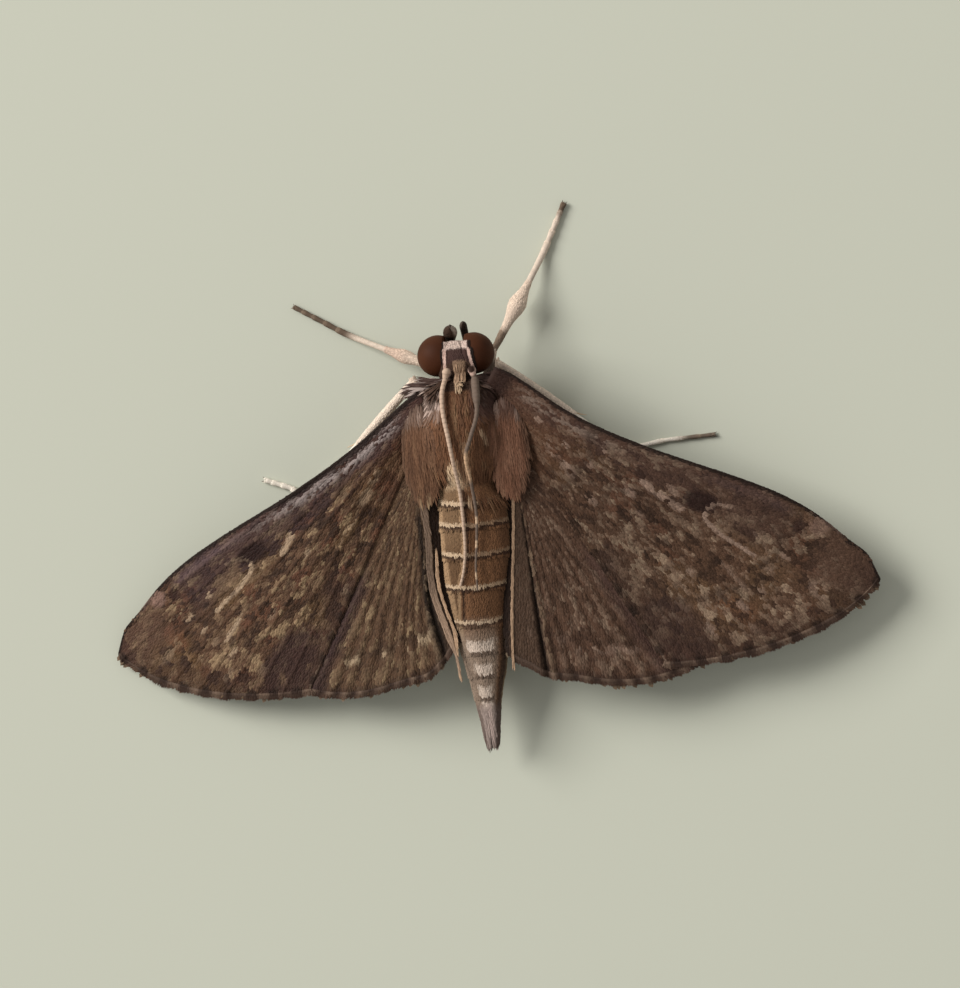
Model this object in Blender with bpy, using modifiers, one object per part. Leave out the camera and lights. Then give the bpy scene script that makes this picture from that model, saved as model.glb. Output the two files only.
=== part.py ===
"""A small brown moth at rest, life size: one closed solid for each part a person would name.

The moth stands on its six feet on the plane z = 0, with its head towards -Y, its tail towards +Y and
its left side towards +X. The wings are half open and swept back, the fore wing over the hind wing, and
both feelers lie back over the body. All dimensions below are in millimetres and are turned to metres
where a mesh is made. The design frame has its x = 0 on the body's midline; the whole moth then hangs on
one empty, whose place puts the centre of its box over the origin.
"""
import math

import bmesh
import bpy
import numpy as np
from mathutils import Matrix, Vector

MM = 0.001
GAP = 0.05              # clear space between two parts that touch on the live moth
SIDES = {"left": 1.0, "right": -1.0}

# Trunk: the body whole, as (y, height of the middle, half width, half height), head first.
TRUNK = [
    (-4.60, 2.20, 0.30, 0.34),
    (-4.42, 2.21, 0.52, 0.54),
    (-4.12, 2.22, 0.62, 0.62),
    (-3.82, 2.21, 0.58, 0.58),
    (-3.62, 2.19, 0.50, 0.54),
    (-3.54, 2.17, 0.78, 0.70),
    (-3.40, 2.16, 0.96, 0.86),
    (-2.90, 2.15, 1.07, 1.07),
    (-2.20, 2.12, 1.15, 1.18),
    (-1.50, 2.06, 1.08, 1.08),
    (-0.95, 1.99, 0.84, 0.80),
    (-0.40, 1.93, 0.88, 0.76),
    (0.40, 1.83, 0.91, 0.74),
    (1.20, 1.70, 0.86, 0.71),
    (2.10, 1.54, 0.74, 0.63),
    (3.20, 1.34, 0.61, 0.54),
    (4.10, 1.18, 0.48, 0.44),
    (4.95, 1.03, 0.33, 0.30),
    (5.60, 0.93, 0.22, 0.19),
    (6.00, 0.86, 0.08, 0.07),
]
NECK_Y = -3.62          # thin cut between the head and the thorax
WAIST_Y = -0.95         # thin cut between the thorax and the abdomen
VENT_Y = 4.95           # thin cut between the abdomen and its tuft
TERGITE_EDGES = (-0.40, 0.16, 0.92, 1.75, 2.66, 3.38, 3.98, 4.56)   # hind edge of each back plate
TERGITE_LIP = 0.035     # how far each back plate swells towards its hind edge, as a share of the width

# Head
EYE_RADIUS = 0.53
EYE_CENTRE = (0.46, -4.25, 2.24)
EYE_BACK_X = 0.27       # the flat inner side of each eye
PALP_PATH = [(0.30, -4.36, 1.46), (0.28, -4.70, 1.54), (0.27, -4.94, 1.80), (0.265, -4.99, 2.14), (0.26, -5.06, 2.48)]
PALP_RADII = (0.13, 0.19, 0.195, 0.17, 0.08)
TONGUE_CENTRE = (0.0, -4.24, 1.34)
TONGUE_HALF = (0.085, 0.24, 0.23)

# Feelers: (x, y) of the middle line over the back, from the socket to the tip.
FEELER_RADIUS = 0.23
FEELER_LINES = {
    "left": [(0.30, -3.98), (0.30, -3.30), (0.22, -2.30), (0.16, -1.10), (0.17, 0.00), (0.22, 1.00), (0.30, 2.00)],
    "right": [(-0.36, -3.98), (-0.52, -3.20), (-0.54, -2.30), (-0.42, -0.90), (-0.36, 0.20), (-0.32, 1.40), (-0.26, 3.00)],
}
SOCKET_Z = 3.10

# Wings: each pair of plates lies on one plane through the hinge, turned by droop, pitch and sweep.
WING_THICKNESS = 0.50
HINGE = (1.00, -2.60, 2.75)
WING_PITCH = 7.0        # degrees, the hind edge lower than the front
WING_DROOP = {"left": 11.3, "right": 7.5}
WING_SWEEP = {"left": 33.5, "right": 32.2}
FORE_SPREAD = {"left": 0.89, "right": 1.00}     # how far the fan of each wing is opened
HIND_SPREAD = {"left": 0.95, "right": 0.98}
WING_CAMBER = 0.22      # rise of the middle of the span over its two ends
WING_SPAN = 9.6
FORE_BASE = {"left": (0.20, -0.47), "right": (0.20, -0.84)}     # root of the front edge, from the hinge
FORE_LENGTH = {"left": 10.62, "right": 10.84}
FORE_BOW = 0.76                 # how far the front edge bows ahead of its chord
FORE_BOW_PEAK = 2.25            # exponent that puts the bow towards the tip
FORE_SHOULDER = {"left": 0.14, "right": 0.02}   # how far the root of the front edge stands forward
FORE_APEX = 0.15                # how much fuller the tip is than the bow alone
FORE_CORNER = (7.05, 4.62)      # hind corner, along the chord and behind it
FORE_ROOT_WIDTH = 0.60
HIND_BASE_Y = 0.90              # root of the hind wing, back from the hinge
HIND_ROOT_RADIUS = 0.40
HIND_ANAL_ANGLE = {"left": 90.5, "right": 92.0}     # degrees from the span to the inner edge
HIND_COSTA_ANGLE = 31.0
HIND_ANAL_LENGTH = 5.25
HIND_REACH = 2.65               # how much longer the wing is at its tip than at its inner edge

# Tegulae: the hair shields over the wing roots.
TEGULA_CENTRE = (1.24, -1.85)
TEGULA_HALF = (0.36, 1.40)
TEGULA_THICK = 0.34
TEGULA_RIM = 0.16

# Legs: hip, knee, ankle, a point of the foot on the floor, and the toe, for each leg.
FOOT_Z = 0.20
LEGS = {
    "foreleg_left": [(0.36, -2.75, 0.84), (0.56, -3.92, 0.86), (2.02, -4.56, 0.46), (3.10, -5.07), (4.50, -5.92)],
    "foreleg_right": [(-0.36, -2.75, 0.84), (-0.80, -4.27, 0.96), (-1.74, -5.96, 0.46), (-2.20, -6.80), (-2.80, -8.00)],
    "midleg_left": [(0.76, -1.98, 0.90), (1.30, -3.68, 0.84), (3.04, -2.32, 0.46), (4.50, -1.34), (5.62, -1.50)],
    "midleg_right": [(-0.76, -1.98, 0.90), (-1.20, -3.80, 0.84), (-2.70, -2.62, 0.46), (-4.25, -1.62), (-6.22, -1.68)],
    "hindleg_left": [(0.52, -1.32, 0.80), (1.60, -0.32, 0.80), (2.74, 2.06, 0.46), (3.30, 2.90), (4.02, 3.78)],
    "hindleg_right": [(-0.52, -1.32, 0.80), (-1.60, -0.32, 0.80), (-2.78, 2.10, 0.46), (-3.36, 2.96), (-4.08, 3.84)],
}
FEMUR_RADII = (0.20, 0.25, 0.25, 0.19)
TIBIA_RADII = (0.17, 0.23, 0.27, 0.19)
TARSUS_RADII = (0.17, 0.25, 0.25, 0.22)


def start_clean():
    """Remove whatever the file opens with."""
    for thing in list(bpy.data.objects):
        bpy.data.objects.remove(thing, do_unlink=True)


def new_collection(name):
    group = bpy.data.collections.new(name)
    bpy.context.scene.collection.children.link(group)
    return group


def material(name, colour, roughness):
    """A plain finish: linear colour, roughness, no metal."""
    made = bpy.data.materials.new(name)
    made.use_nodes = True
    shader = made.node_tree.nodes["Principled BSDF"]
    shader.inputs["Base Color"].default_value = (*colour, 1.0)
    shader.inputs["Roughness"].default_value = roughness
    shader.inputs["Metallic"].default_value = 0.0
    return made


def through(points, steps):
    """A smooth Catmull-Rom line through rows of numbers, with `steps` pieces between each two rows."""
    rows = np.asarray(points, float)
    padded = np.vstack([2 * rows[0] - rows[1], rows, 2 * rows[-1] - rows[-2]])
    line = []
    for before, here, there, after in zip(padded, padded[1:], padded[2:], padded[3:]):
        for t in np.arange(steps) / steps:
            line.append(0.5 * (2 * here + (there - before) * t + (2 * before - 5 * here + 4 * there - after) * t ** 2
                               + (3 * here - before - 3 * there + after) * t ** 3))
    return np.array(line + [rows[-1]])


TRUNK_LINE = through(TRUNK, 4)


def trunk_at(y):
    """Height of the middle, half width and half height of the body at y."""
    return [np.interp(y, TRUNK_LINE[:, 0], TRUNK_LINE[:, column]) for column in (1, 2, 3)]


def back_height(x, y):
    """Height of the body's upper surface at (x, y), or of its middle beyond its sides."""
    middle, half_width, half_height = trunk_at(y)
    share = np.clip(np.abs(x) / half_width, 0.0, 1.0)
    return middle + half_height * np.sqrt(1.0 - share ** 2)


def add_object(name, mesh, group, finish):
    mesh.materials.clear()
    mesh.materials.append(finish)
    mesh.shade_smooth()
    mesh.set_sharp_from_angle(angle=math.radians(50))
    made = bpy.data.objects.new(name, mesh)
    group.objects.link(made)
    return made


def mesh_from(name, points, faces):
    """A mesh from points in millimetres, doubles merged and faces turned outwards."""
    mesh = bpy.data.meshes.new(name)
    mesh.from_pydata((np.asarray(points, float) * MM).tolist(), [], faces)
    work = bmesh.new()
    work.from_mesh(mesh)
    bmesh.ops.remove_doubles(work, verts=work.verts, dist=1e-7)
    bmesh.ops.recalc_face_normals(work, faces=work.faces)
    work.to_mesh(mesh)
    work.free()
    return mesh


def grid_faces(rows, columns, wrap):
    """Quads of a grid of points stored row by row; `wrap` closes each row on itself."""
    last = columns if wrap else columns - 1
    return [(r * columns + c, r * columns + (c + 1) % columns,
             (r + 1) * columns + (c + 1) % columns, (r + 1) * columns + c)
            for r in range(rows - 1) for c in range(last)]


def loft(name, rings):
    """A closed skin over rings of equal length, with a flat cap at each end."""
    rows, columns = rings.shape[:2]
    faces = grid_faces(rows, columns, True)
    faces.append(tuple(range(columns)))
    faces.append(tuple(range((rows - 1) * columns, rows * columns)))
    return mesh_from(name, rings.reshape(-1, 3), faces)


def trunk_rings(stations, sides, swell=None):
    """Oval rings across the body at the given y stations."""
    turn = np.arange(sides) * 2 * math.pi / sides
    middle, half_width, half_height = trunk_at(stations)
    factor = np.ones_like(stations) if swell is None else swell
    rings = np.empty((len(stations), sides, 3))
    rings[:, :, 0] = (half_width * factor)[:, None] * np.cos(turn)
    rings[:, :, 1] = stations[:, None]
    rings[:, :, 2] = middle[:, None] + (half_height * factor)[:, None] * np.sin(turn)
    return rings


def eye_dome(name, side, margin):
    """A ball cut flat on its inner side, grown all round by `margin`."""
    work = bmesh.new()
    centre = Vector((side * EYE_CENTRE[0], EYE_CENTRE[1], EYE_CENTRE[2])) * MM
    place = Matrix.Translation(centre) @ Matrix.Rotation(math.radians(90), 4, "Y")
    bmesh.ops.create_uvsphere(work, u_segments=20, v_segments=12, radius=(EYE_RADIUS + margin) * MM, matrix=place)
    everything = work.verts[:] + work.edges[:] + work.faces[:]
    plane = Vector((side * (EYE_BACK_X - margin) * MM, 0, 0))
    bmesh.ops.bisect_plane(work, geom=everything, plane_co=plane, plane_no=Vector((side, 0, 0)), clear_inner=True)
    bmesh.ops.holes_fill(work, edges=work.edges)
    bmesh.ops.recalc_face_normals(work, faces=work.faces)
    mesh = bpy.data.meshes.new(name)
    work.to_mesh(mesh)
    work.free()
    return mesh


def head(group, cutters, finish):
    """The head capsule, with a socket cut for each eye."""
    stations = through([[row[0]] for row in TRUNK[:5]], 3)[:, 0]
    stations[-1] = NECK_Y - GAP / 2
    made = add_object("head", loft("head", trunk_rings(stations, 20)), group, finish)
    for label, side in SIDES.items():
        cutter = add_object(f"cut_socket_{label}", eye_dome("socket", side, GAP), cutters, finish)
        cutter.hide_render = True
        cutter.display_type = "WIRE"
        socket = made.modifiers.new(f"socket_{label}", "BOOLEAN")
        socket.operation = "DIFFERENCE"
        socket.object = cutter
    return made


def eyes(group, finish):
    for label, side in SIDES.items():
        add_object(f"eye_{label}", eye_dome("eye", side, 0.0), group, finish)


def tube(name, points, radii):
    """A round limb: a curve of given radii, made a mesh and welded."""
    line = bpy.data.curves.new(name, "CURVE")
    line.dimensions = "3D"
    line.bevel_depth = MM
    line.bevel_resolution = 2
    line.use_fill_caps = True
    spline = line.splines.new("POLY")
    spline.points.add(len(points) - 1)
    for knot, place, radius in zip(spline.points, points, radii):
        knot.co = (*(Vector(place) * MM), 1.0)
        knot.radius = radius
    holder = bpy.data.objects.new(name, line)
    bpy.context.scene.collection.objects.link(holder)
    view = bpy.context.evaluated_depsgraph_get()
    mesh = bpy.data.meshes.new_from_object(holder.evaluated_get(view))
    bpy.data.objects.remove(holder, do_unlink=True)
    bpy.data.curves.remove(line)
    work = bmesh.new()
    work.from_mesh(mesh)
    bmesh.ops.remove_doubles(work, verts=work.verts, dist=1e-7)
    work.to_mesh(mesh)
    work.free()
    return mesh


def flatten_sole(mesh):
    """Cut the mesh off at the floor, so that it stands on a flat."""
    work = bmesh.new()
    work.from_mesh(mesh)
    everything = work.verts[:] + work.edges[:] + work.faces[:]
    bmesh.ops.bisect_plane(work, geom=everything, plane_co=(0, 0, 0), plane_no=(0, 0, 1), clear_inner=True)
    bmesh.ops.holes_fill(work, edges=work.edges)
    bmesh.ops.recalc_face_normals(work, faces=work.faces)
    work.to_mesh(mesh)
    work.free()


def palps(group, finish):
    """The two scaly mouth feelers, curved up in front of the face."""
    for label, side in SIDES.items():
        path = through([(side * x, y, z) for x, y, z in PALP_PATH], 2)
        radii = through([[r] for r in PALP_RADII], 2)[:, 0]
        add_object(f"palp_{label}", tube("palp", path, radii), group, finish)


def tongue(group, finish):
    """The coiled tongue under the head, as its outer shape."""
    work = bmesh.new()
    place = Matrix.Translation(Vector(TONGUE_CENTRE) * MM) @ Matrix.Diagonal((*TONGUE_HALF, 1.0))
    bmesh.ops.create_uvsphere(work, u_segments=14, v_segments=8, radius=MM, matrix=place)
    mesh = bpy.data.meshes.new("proboscis")
    work.to_mesh(mesh)
    work.free()
    add_object("proboscis", mesh, group, finish)


def feelers(group, finish):
    """Both antennae, laid over the back one radius and a gap above it."""
    for label, line in FEELER_LINES.items():
        flat = through(line, 4)
        x, y = flat[:, 0], flat[:, 1]
        reach = np.linspace(-1.0, 1.0, 5) * FEELER_RADIUS
        under = [np.maximum.reduce([back_height(x + dx, y + dy) for dx in reach]) for dy in reach]
        height = np.maximum.reduce(under) + FEELER_RADIUS + GAP
        height[0] = SOCKET_Z
        path = np.column_stack([x, y, height])
        radii = np.full(len(path), FEELER_RADIUS)
        radii[-1] = FEELER_RADIUS * 0.6
        add_object(f"antenna_{label}", tube("antenna", path, radii), group, finish)


def thorax(group, finish):
    stations = np.concatenate([[NECK_Y + GAP / 2], np.linspace(-3.5, -1.1, 11), [WAIST_Y - GAP / 2]])
    add_object("thorax", loft("thorax", trunk_rings(stations, 24)), group, finish)


def abdomen(group, finish):
    """The abdomen, each back plate a little wider at its hind edge than where it starts."""
    edges = (WAIST_Y + GAP / 2,) + TERGITE_EDGES + (VENT_Y - GAP / 2,)
    stations, swell = [], []
    for start, end in zip(edges, edges[1:]):
        for share in (0.06, 0.5, 0.97):
            stations.append(start + share * (end - start))
            swell.append(1.0 - TERGITE_LIP * (1.0 - share))
    stations[0] = edges[0]
    stations[-1] = edges[-1]
    add_object("abdomen", loft("abdomen", trunk_rings(np.array(stations), 20, np.array(swell))), group, finish)


def anal_tuft(group, finish):
    stations = np.concatenate([[VENT_Y + GAP / 2], np.linspace(5.15, 6.0, 6)])
    add_object("anal_tuft", loft("anal_tuft", trunk_rings(stations, 16)), group, finish)


def wing_frame(label):
    """Hinge point and the three unit directions of a wing: out, back and up."""
    side = SIDES[label]
    droop = Matrix.Rotation(math.radians(WING_DROOP[label]), 3, "Y")
    pitch = Matrix.Rotation(math.radians(-WING_PITCH), 3, "X")
    out, back, up = ((droop @ pitch) @ Vector(axis) for axis in ((1, 0, 0), (0, 1, 0), (0, 0, 1)))
    flip = np.array([side, 1.0, 1.0])
    return np.array(HINGE) * flip, np.array(out) * flip, np.array(back) * flip, np.array(up) * flip


def wing_points(label, out, back, lift):
    """Points of a wing from distances out from the hinge, back from it and above its plane."""
    hinge, e_out, e_back, e_up = wing_frame(label)
    camber = WING_CAMBER * np.sin(math.pi * np.clip(out / WING_SPAN, 0.0, 1.0))
    height = lift + camber
    return hinge + out[..., None] * e_out + back[..., None] * e_back + height[..., None] * e_up


def fore_outline(label, along):
    """Front and hind edge of the fore wing, behind the chord, at distances along it."""
    share = np.clip(along / FORE_LENGTH[label], 0.0, 1.0)
    front = -FORE_BOW * np.sin(math.pi * share ** FORE_BOW_PEAK)
    front = front - FORE_SHOULDER[label] * np.exp(-(along / 1.5) ** 2)
    front = front - FORE_APEX * np.exp(-((share - 0.95) / 0.05) ** 2)
    inner = FORE_ROOT_WIDTH + (FORE_CORNER[1] - FORE_ROOT_WIDTH) * along / FORE_CORNER[0]
    past = np.clip((along - FORE_CORNER[0]) / (FORE_LENGTH[label] - FORE_CORNER[0]), 0.0, 1.0)
    outer = FORE_CORNER[1] * (1.0 - past ** 1.15) ** 0.65
    spread = FORE_SPREAD[label]
    return front * spread, np.where(along < FORE_CORNER[0], inner, outer) * spread


def fore_grid(label, lift):
    """Grid over a fore wing: rows from root to tip, columns from the front edge to the hind one."""
    past_corner = np.array([0.16, 0.34, 0.52, 0.68, 0.82, 0.92, 0.98])
    along = np.concatenate([np.linspace(0.12, FORE_CORNER[0], 12),
                            FORE_CORNER[0] + (FORE_LENGTH[label] - FORE_CORNER[0]) * past_corner])
    front, hind = fore_outline(label, along)
    across = np.linspace(0.0, 1.0, 7)
    behind = front[:, None] + (hind - front)[:, None] * across
    sweep = math.radians(WING_SWEEP[label])
    root_out, root_back = FORE_BASE[label]
    out = root_out + along[:, None] * math.cos(sweep) - behind * math.sin(sweep)
    back = root_back + along[:, None] * math.sin(sweep) + behind * math.cos(sweep)
    return wing_points(label, out, back, np.full_like(out, lift))


def hind_reach(label, angle):
    """Radius of the hind wing's outer edge at an angle, in degrees, from the span."""
    share = (HIND_ANAL_ANGLE[label] - angle) / (HIND_ANAL_ANGLE[label] - HIND_COSTA_ANGLE)
    rounded = np.clip((share - 0.86) / 0.14, 0.0, 1.0) ** 2
    lobe = 0.28 * np.exp(-((share - 0.12) / 0.09) ** 2)
    return HIND_ANAL_LENGTH + HIND_REACH * np.sin(0.5 * math.pi * np.clip(share * 1.15, 0, 1)) - 0.9 * rounded + lobe


def hind_grid(label, lift):
    """Fan over a hind wing: rows by angle from its front edge round to its inner one."""
    angle = np.linspace(HIND_COSTA_ANGLE, HIND_ANAL_ANGLE[label], 15)
    outer = hind_reach(label, angle) * HIND_SPREAD[label]
    share = np.linspace(0.0, 1.0, 7)
    radius = HIND_ROOT_RADIUS + (outer[:, None] - HIND_ROOT_RADIUS) * share
    turn = np.radians(angle)[:, None]
    out = 0.06 + radius * np.cos(turn)
    back = HIND_BASE_Y + radius * np.sin(turn)
    return wing_points(label, out, back, np.full_like(out, lift))


def plate(name, sheet, group, finish):
    """An open sheet given the wings' thickness by Solidify, half to each side."""
    rows, columns = sheet.shape[:2]
    mesh = mesh_from(name, sheet.reshape(-1, 3), grid_faces(rows, columns, False))
    made = add_object(name, mesh, group, finish)
    shell = made.modifiers.new("thickness", "SOLIDIFY")
    shell.thickness = WING_THICKNESS * MM
    shell.offset = 0.0
    return made


def wings(group, fore_finish, hind_finish):
    """The two pairs of wings, the hind one a gap below the fore one."""
    for label in SIDES:
        plate(f"forewing_{label}", fore_grid(label, 0.0), group, fore_finish)
        plate(f"hindwing_{label}", hind_grid(label, -(WING_THICKNESS + GAP)), group, hind_finish)


def wing_top(label, x, y):
    """Height of the fore wing's upper surface above (x, y), its plane carried inwards."""
    hinge, e_out, e_back, e_up = wing_frame(label)
    drop = (x - hinge[0]) * e_up[0] + (y - hinge[1]) * e_up[1]
    return hinge[2] - drop / e_up[2] + WING_THICKNESS / 2 / e_up[2] + 0.09


def tegulae(group, finish):
    """Hair shields that lie on the shoulder and the wing root, thick in the middle and thin at the rim."""
    rings, spokes = 6, 20
    turn = np.arange(spokes) * 2 * math.pi / spokes
    share = np.linspace(0.0, 1.0, rings + 1)[1:, None]
    for label, side in SIDES.items():
        x = side * (TEGULA_CENTRE[0] + TEGULA_HALF[0] * share * np.cos(turn))
        y = TEGULA_CENTRE[1] + TEGULA_HALF[1] * share * np.sin(turn)
        x = np.vstack([np.full(1, side * TEGULA_CENTRE[0]), x.reshape(-1, 1)]).ravel()
        y = np.vstack([np.full(1, TEGULA_CENTRE[1]), y.reshape(-1, 1)]).ravel()
        under = np.maximum(back_height(x, y), wing_top(label, x, y)) + GAP
        reach = np.concatenate([[0.0], np.repeat(share.ravel(), spokes)])
        over = under + TEGULA_RIM + (TEGULA_THICK - TEGULA_RIM) * np.sqrt(1.0 - reach ** 2)
        count = len(x)
        points = np.vstack([np.column_stack([x, y, under]), np.column_stack([x, y, over])])
        fan = [(0, 1 + s, 1 + (s + 1) % spokes) for s in range(spokes)]
        bands = [tuple(1 + i for i in quad) for quad in grid_faces(rings, spokes, True)]
        rim = 1 + (rings - 1) * spokes
        wall = [(rim + s, rim + (s + 1) % spokes, rim + (s + 1) % spokes + count, rim + s + count)
                for s in range(spokes)]
        low = fan + bands
        faces = low + [tuple(i + count for i in reversed(face)) for face in low] + wall
        add_object(f"tegula_{label}", mesh_from("tegula", points, faces), group, finish)


def trimmed(start, end, before, after, end_radius):
    """A limb's two ends, drawn back so that its flat caps clear the limbs at its joints."""
    run = (end - start).normalized()
    for other, near in ((before, True), (after, False)):
        if other is None:
            continue
        bend = run.angle(other.normalized())
        back = end_radius * math.tan(min(bend / 2, math.radians(66))) + GAP / 2
        if near:
            start = start + run * back
        else:
            end = end - run * back
    return start, end


def limb(start, end, radii):
    """Points at even spaces from start to end, with radii read smoothly along them."""
    share = np.linspace(0.0, 1.0, 5)
    path = [start.lerp(end, t) for t in share]
    given = np.interp(share, np.linspace(0.0, 1.0, len(radii)), radii)
    return path, given


def legs(group, finishes):
    """Six legs, each a thigh, a shin and a foot that lies flat on the floor."""
    for name, (hip, knee, ankle, ball, toe) in LEGS.items():
        hip, knee, ankle = Vector(hip), Vector(knee), Vector(ankle)
        ball, toe = Vector((*ball, FOOT_Z)), Vector((*toe, FOOT_Z))
        low, high = trimmed(hip, knee, None, ankle - knee, FEMUR_RADII[-1])
        add_object(f"{name}_femur", tube("femur", *limb(low, high, FEMUR_RADII)), group, finishes["femur"])
        low, high = trimmed(knee, ankle, knee - hip, ball - ankle, TIBIA_RADII[-1])
        add_object(f"{name}_tibia", tube("tibia", *limb(low, high, TIBIA_RADII)), group, finishes["tibia"])
        low, _ = trimmed(ankle, ball, ankle - knee, None, TARSUS_RADII[0])
        path = [low, low.lerp(ball, 0.5), ball, ball.lerp(toe, 0.5), ball.lerp(toe, 0.9), toe]
        radii = np.interp(np.linspace(0, 1, 6), np.linspace(0, 1, 4), TARSUS_RADII)
        foot = tube("tarsus", path, radii)
        flatten_sole(foot)
        add_object(f"{name}_tarsus", foot, group, finishes["tarsus"])


def centre_moth(group, cutters):
    """Hang every part and cutter on one empty, placed so that the moth's box is centred over the origin."""
    view = bpy.context.evaluated_depsgraph_get()
    corners = []
    for made in group.objects:
        ready = made.evaluated_get(view)
        corners.extend(ready.matrix_world @ vertex.co for vertex in ready.data.vertices)
    points = np.array(corners)
    middle = (points.min(axis=0) + points.max(axis=0)) / 2
    root = bpy.data.objects.new("moth_root", None)
    root.location = (-middle[0], -middle[1], 0.0)
    for made in list(group.objects) + list(cutters.objects):
        made.parent = root
    group.objects.link(root)


def main():
    start_clean()
    group = new_collection("moth")
    cutters = new_collection("moth cutters")
    brown = material("brown_scales", (0.090, 0.052, 0.030), 0.75)
    tan = material("tan_scales", (0.330, 0.240, 0.150), 0.70)
    grey = material("lilac_grey_scales", (0.230, 0.180, 0.170), 0.65)
    cream = material("cream_scales", (0.700, 0.560, 0.420), 0.60)
    dark = material("dark_wing_scales", (0.060, 0.036, 0.026), 0.80)
    ruby = material("eye_facets", (0.045, 0.015, 0.010), 0.25)
    head(group, cutters, brown)
    eyes(group, ruby)
    palps(group, dark)
    tongue(group, cream)
    feelers(group, tan)
    thorax(group, brown)
    tegulae(group, tan)
    abdomen(group, tan)
    anal_tuft(group, grey)
    wings(group, dark, brown)
    legs(group, {"femur": cream, "tibia": cream, "tarsus": cream})
    centre_moth(group, cutters)


main()
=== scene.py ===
# %% [markdown]
# # A small brown moth at rest
#
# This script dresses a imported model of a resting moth: skin, eyes, wings, and tens of thousands of
# scales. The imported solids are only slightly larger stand-ins, so every fine piece is worked out from
# the same few dimensions and lies inside them. All shapes are computed in millimetres in the moth's
# own frame, where x = 0 is the middle of the body, y runs from head to tail and z up from the floor.

# %% Load the fixed frame
import math

import bpy
import numpy as np
from mathutils import Matrix, Vector


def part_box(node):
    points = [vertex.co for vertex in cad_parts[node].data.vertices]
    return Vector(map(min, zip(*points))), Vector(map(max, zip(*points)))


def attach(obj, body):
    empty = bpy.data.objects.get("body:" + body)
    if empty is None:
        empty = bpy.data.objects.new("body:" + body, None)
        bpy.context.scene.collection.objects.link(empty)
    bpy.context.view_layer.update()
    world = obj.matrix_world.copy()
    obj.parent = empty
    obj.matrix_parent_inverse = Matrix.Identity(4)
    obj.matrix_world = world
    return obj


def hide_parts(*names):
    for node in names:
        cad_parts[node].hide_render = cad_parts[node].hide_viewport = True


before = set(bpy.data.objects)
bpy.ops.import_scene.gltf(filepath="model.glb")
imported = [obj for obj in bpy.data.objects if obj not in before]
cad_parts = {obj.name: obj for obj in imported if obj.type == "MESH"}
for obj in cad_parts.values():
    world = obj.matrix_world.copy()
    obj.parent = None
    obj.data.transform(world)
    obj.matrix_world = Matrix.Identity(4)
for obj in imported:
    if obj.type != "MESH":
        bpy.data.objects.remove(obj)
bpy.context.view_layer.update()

# %% [markdown]
# ## The moth's own frame
#
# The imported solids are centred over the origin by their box, which is a poor frame to design in. One
# solid with a known place gives the way back: the left eye is a ball of 0.53 mm radius whose middle is
# 0.46 mm out from the body's midline and 4.25 mm ahead of that frame's zero. Its y grows to the tail.

# %% From the moth's frame to the world
MM = 0.001
EYE_RADIUS = 0.53
EYE_CENTRE = np.array([0.46, -4.25, 2.24])

eye_low, eye_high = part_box("eye_left")
ORIGIN = np.array([
    eye_high[0] / MM - EYE_CENTRE[0] - EYE_RADIUS,
    (eye_low[1] + eye_high[1]) / 2 / MM - EYE_CENTRE[1],
    0.0,
])
print("moth frame sits at, mm:", ORIGIN.round(3))


def to_world(points):
    """Points in the moth's millimetres, moved by ORIGIN and turned to metres."""
    return (np.asarray(points, float) + ORIGIN) * MM


# %% [markdown]
# ## Small tools
#
# Every piece is a mesh made from whole arrays. `add_piece` puts an array of points and arrays of faces
# into a mesh with `foreach_set`, which is far faster than adding vertices one by one. A colour per
# point is stored as an attribute named `scales`, so that a skin and the coat over it can share one
# pattern. The coat's map, OFBake, gives each scale a tiny patch at the place of its root.

# %% Put arrays into meshes
SIDES = {"left": 1.0, "right": -1.0}
pieces = {}


def add_piece(name, points, faces, finish, colours=None, map_uv=None, smooth=True):
    """Make a mesh object at the origin from points (n, 3) in mm and a list of face index arrays."""
    mesh = bpy.data.meshes.new(name)
    blocks = [np.asarray(block) for block in faces if len(block)]
    loops = np.concatenate([block.ravel() for block in blocks])
    sizes = np.concatenate([np.full(len(block), block.shape[1]) for block in blocks])
    starts = np.concatenate([[0], np.cumsum(sizes)[:-1]])
    mesh.vertices.add(len(points))
    mesh.vertices.foreach_set("co", to_world(points).astype(np.float32).ravel())
    mesh.loops.add(len(loops))
    mesh.loops.foreach_set("vertex_index", loops.astype(np.int32))
    mesh.polygons.add(len(sizes))
    mesh.polygons.foreach_set("loop_start", starts.astype(np.int32))
    mesh.polygons.foreach_set("use_smooth", np.full(len(sizes), smooth))
    mesh.update(calc_edges=True)
    if colours is not None:
        layer = mesh.color_attributes.new("scales", "FLOAT_COLOR", "POINT")
        rgba = np.ones((len(points), 4), np.float32)
        rgba[:, :3] = colours
        layer.data.foreach_set("color", rgba.ravel())
    if map_uv is not None:
        layer = mesh.uv_layers.new(name="OFBake")
        layer.data.foreach_set("uv", map_uv[loops].astype(np.float32).ravel())
    mesh.materials.append(finish)
    made = bpy.data.objects.new(name, mesh)
    bpy.context.scene.collection.objects.link(made)
    pieces[name] = made
    return made


print("sides:", SIDES)

# %% Grids, directions and smooth steps
def grid_quads(rows, columns, wrap=False):
    """Index quads of a grid stored row by row; `wrap` closes each row on itself."""
    row = np.arange(rows - 1)[:, None] * columns
    column = np.arange(columns if wrap else columns - 1)[None, :]
    after = (column + 1) % columns
    below = row + columns
    return np.stack([row + column, row + after, below + after, below + column], -1).reshape(-1, 4)


UP = np.array([0.0, 0.0, 1.0])


def unit(vectors):
    """Vectors divided by their own lengths."""
    return vectors / np.maximum(np.linalg.norm(vectors, axis=-1, keepdims=True), 1e-12)


def dot(first, second):
    """Dot product of each row with the same row of another array."""
    return np.einsum("ij,ij->i", first, second)


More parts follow.
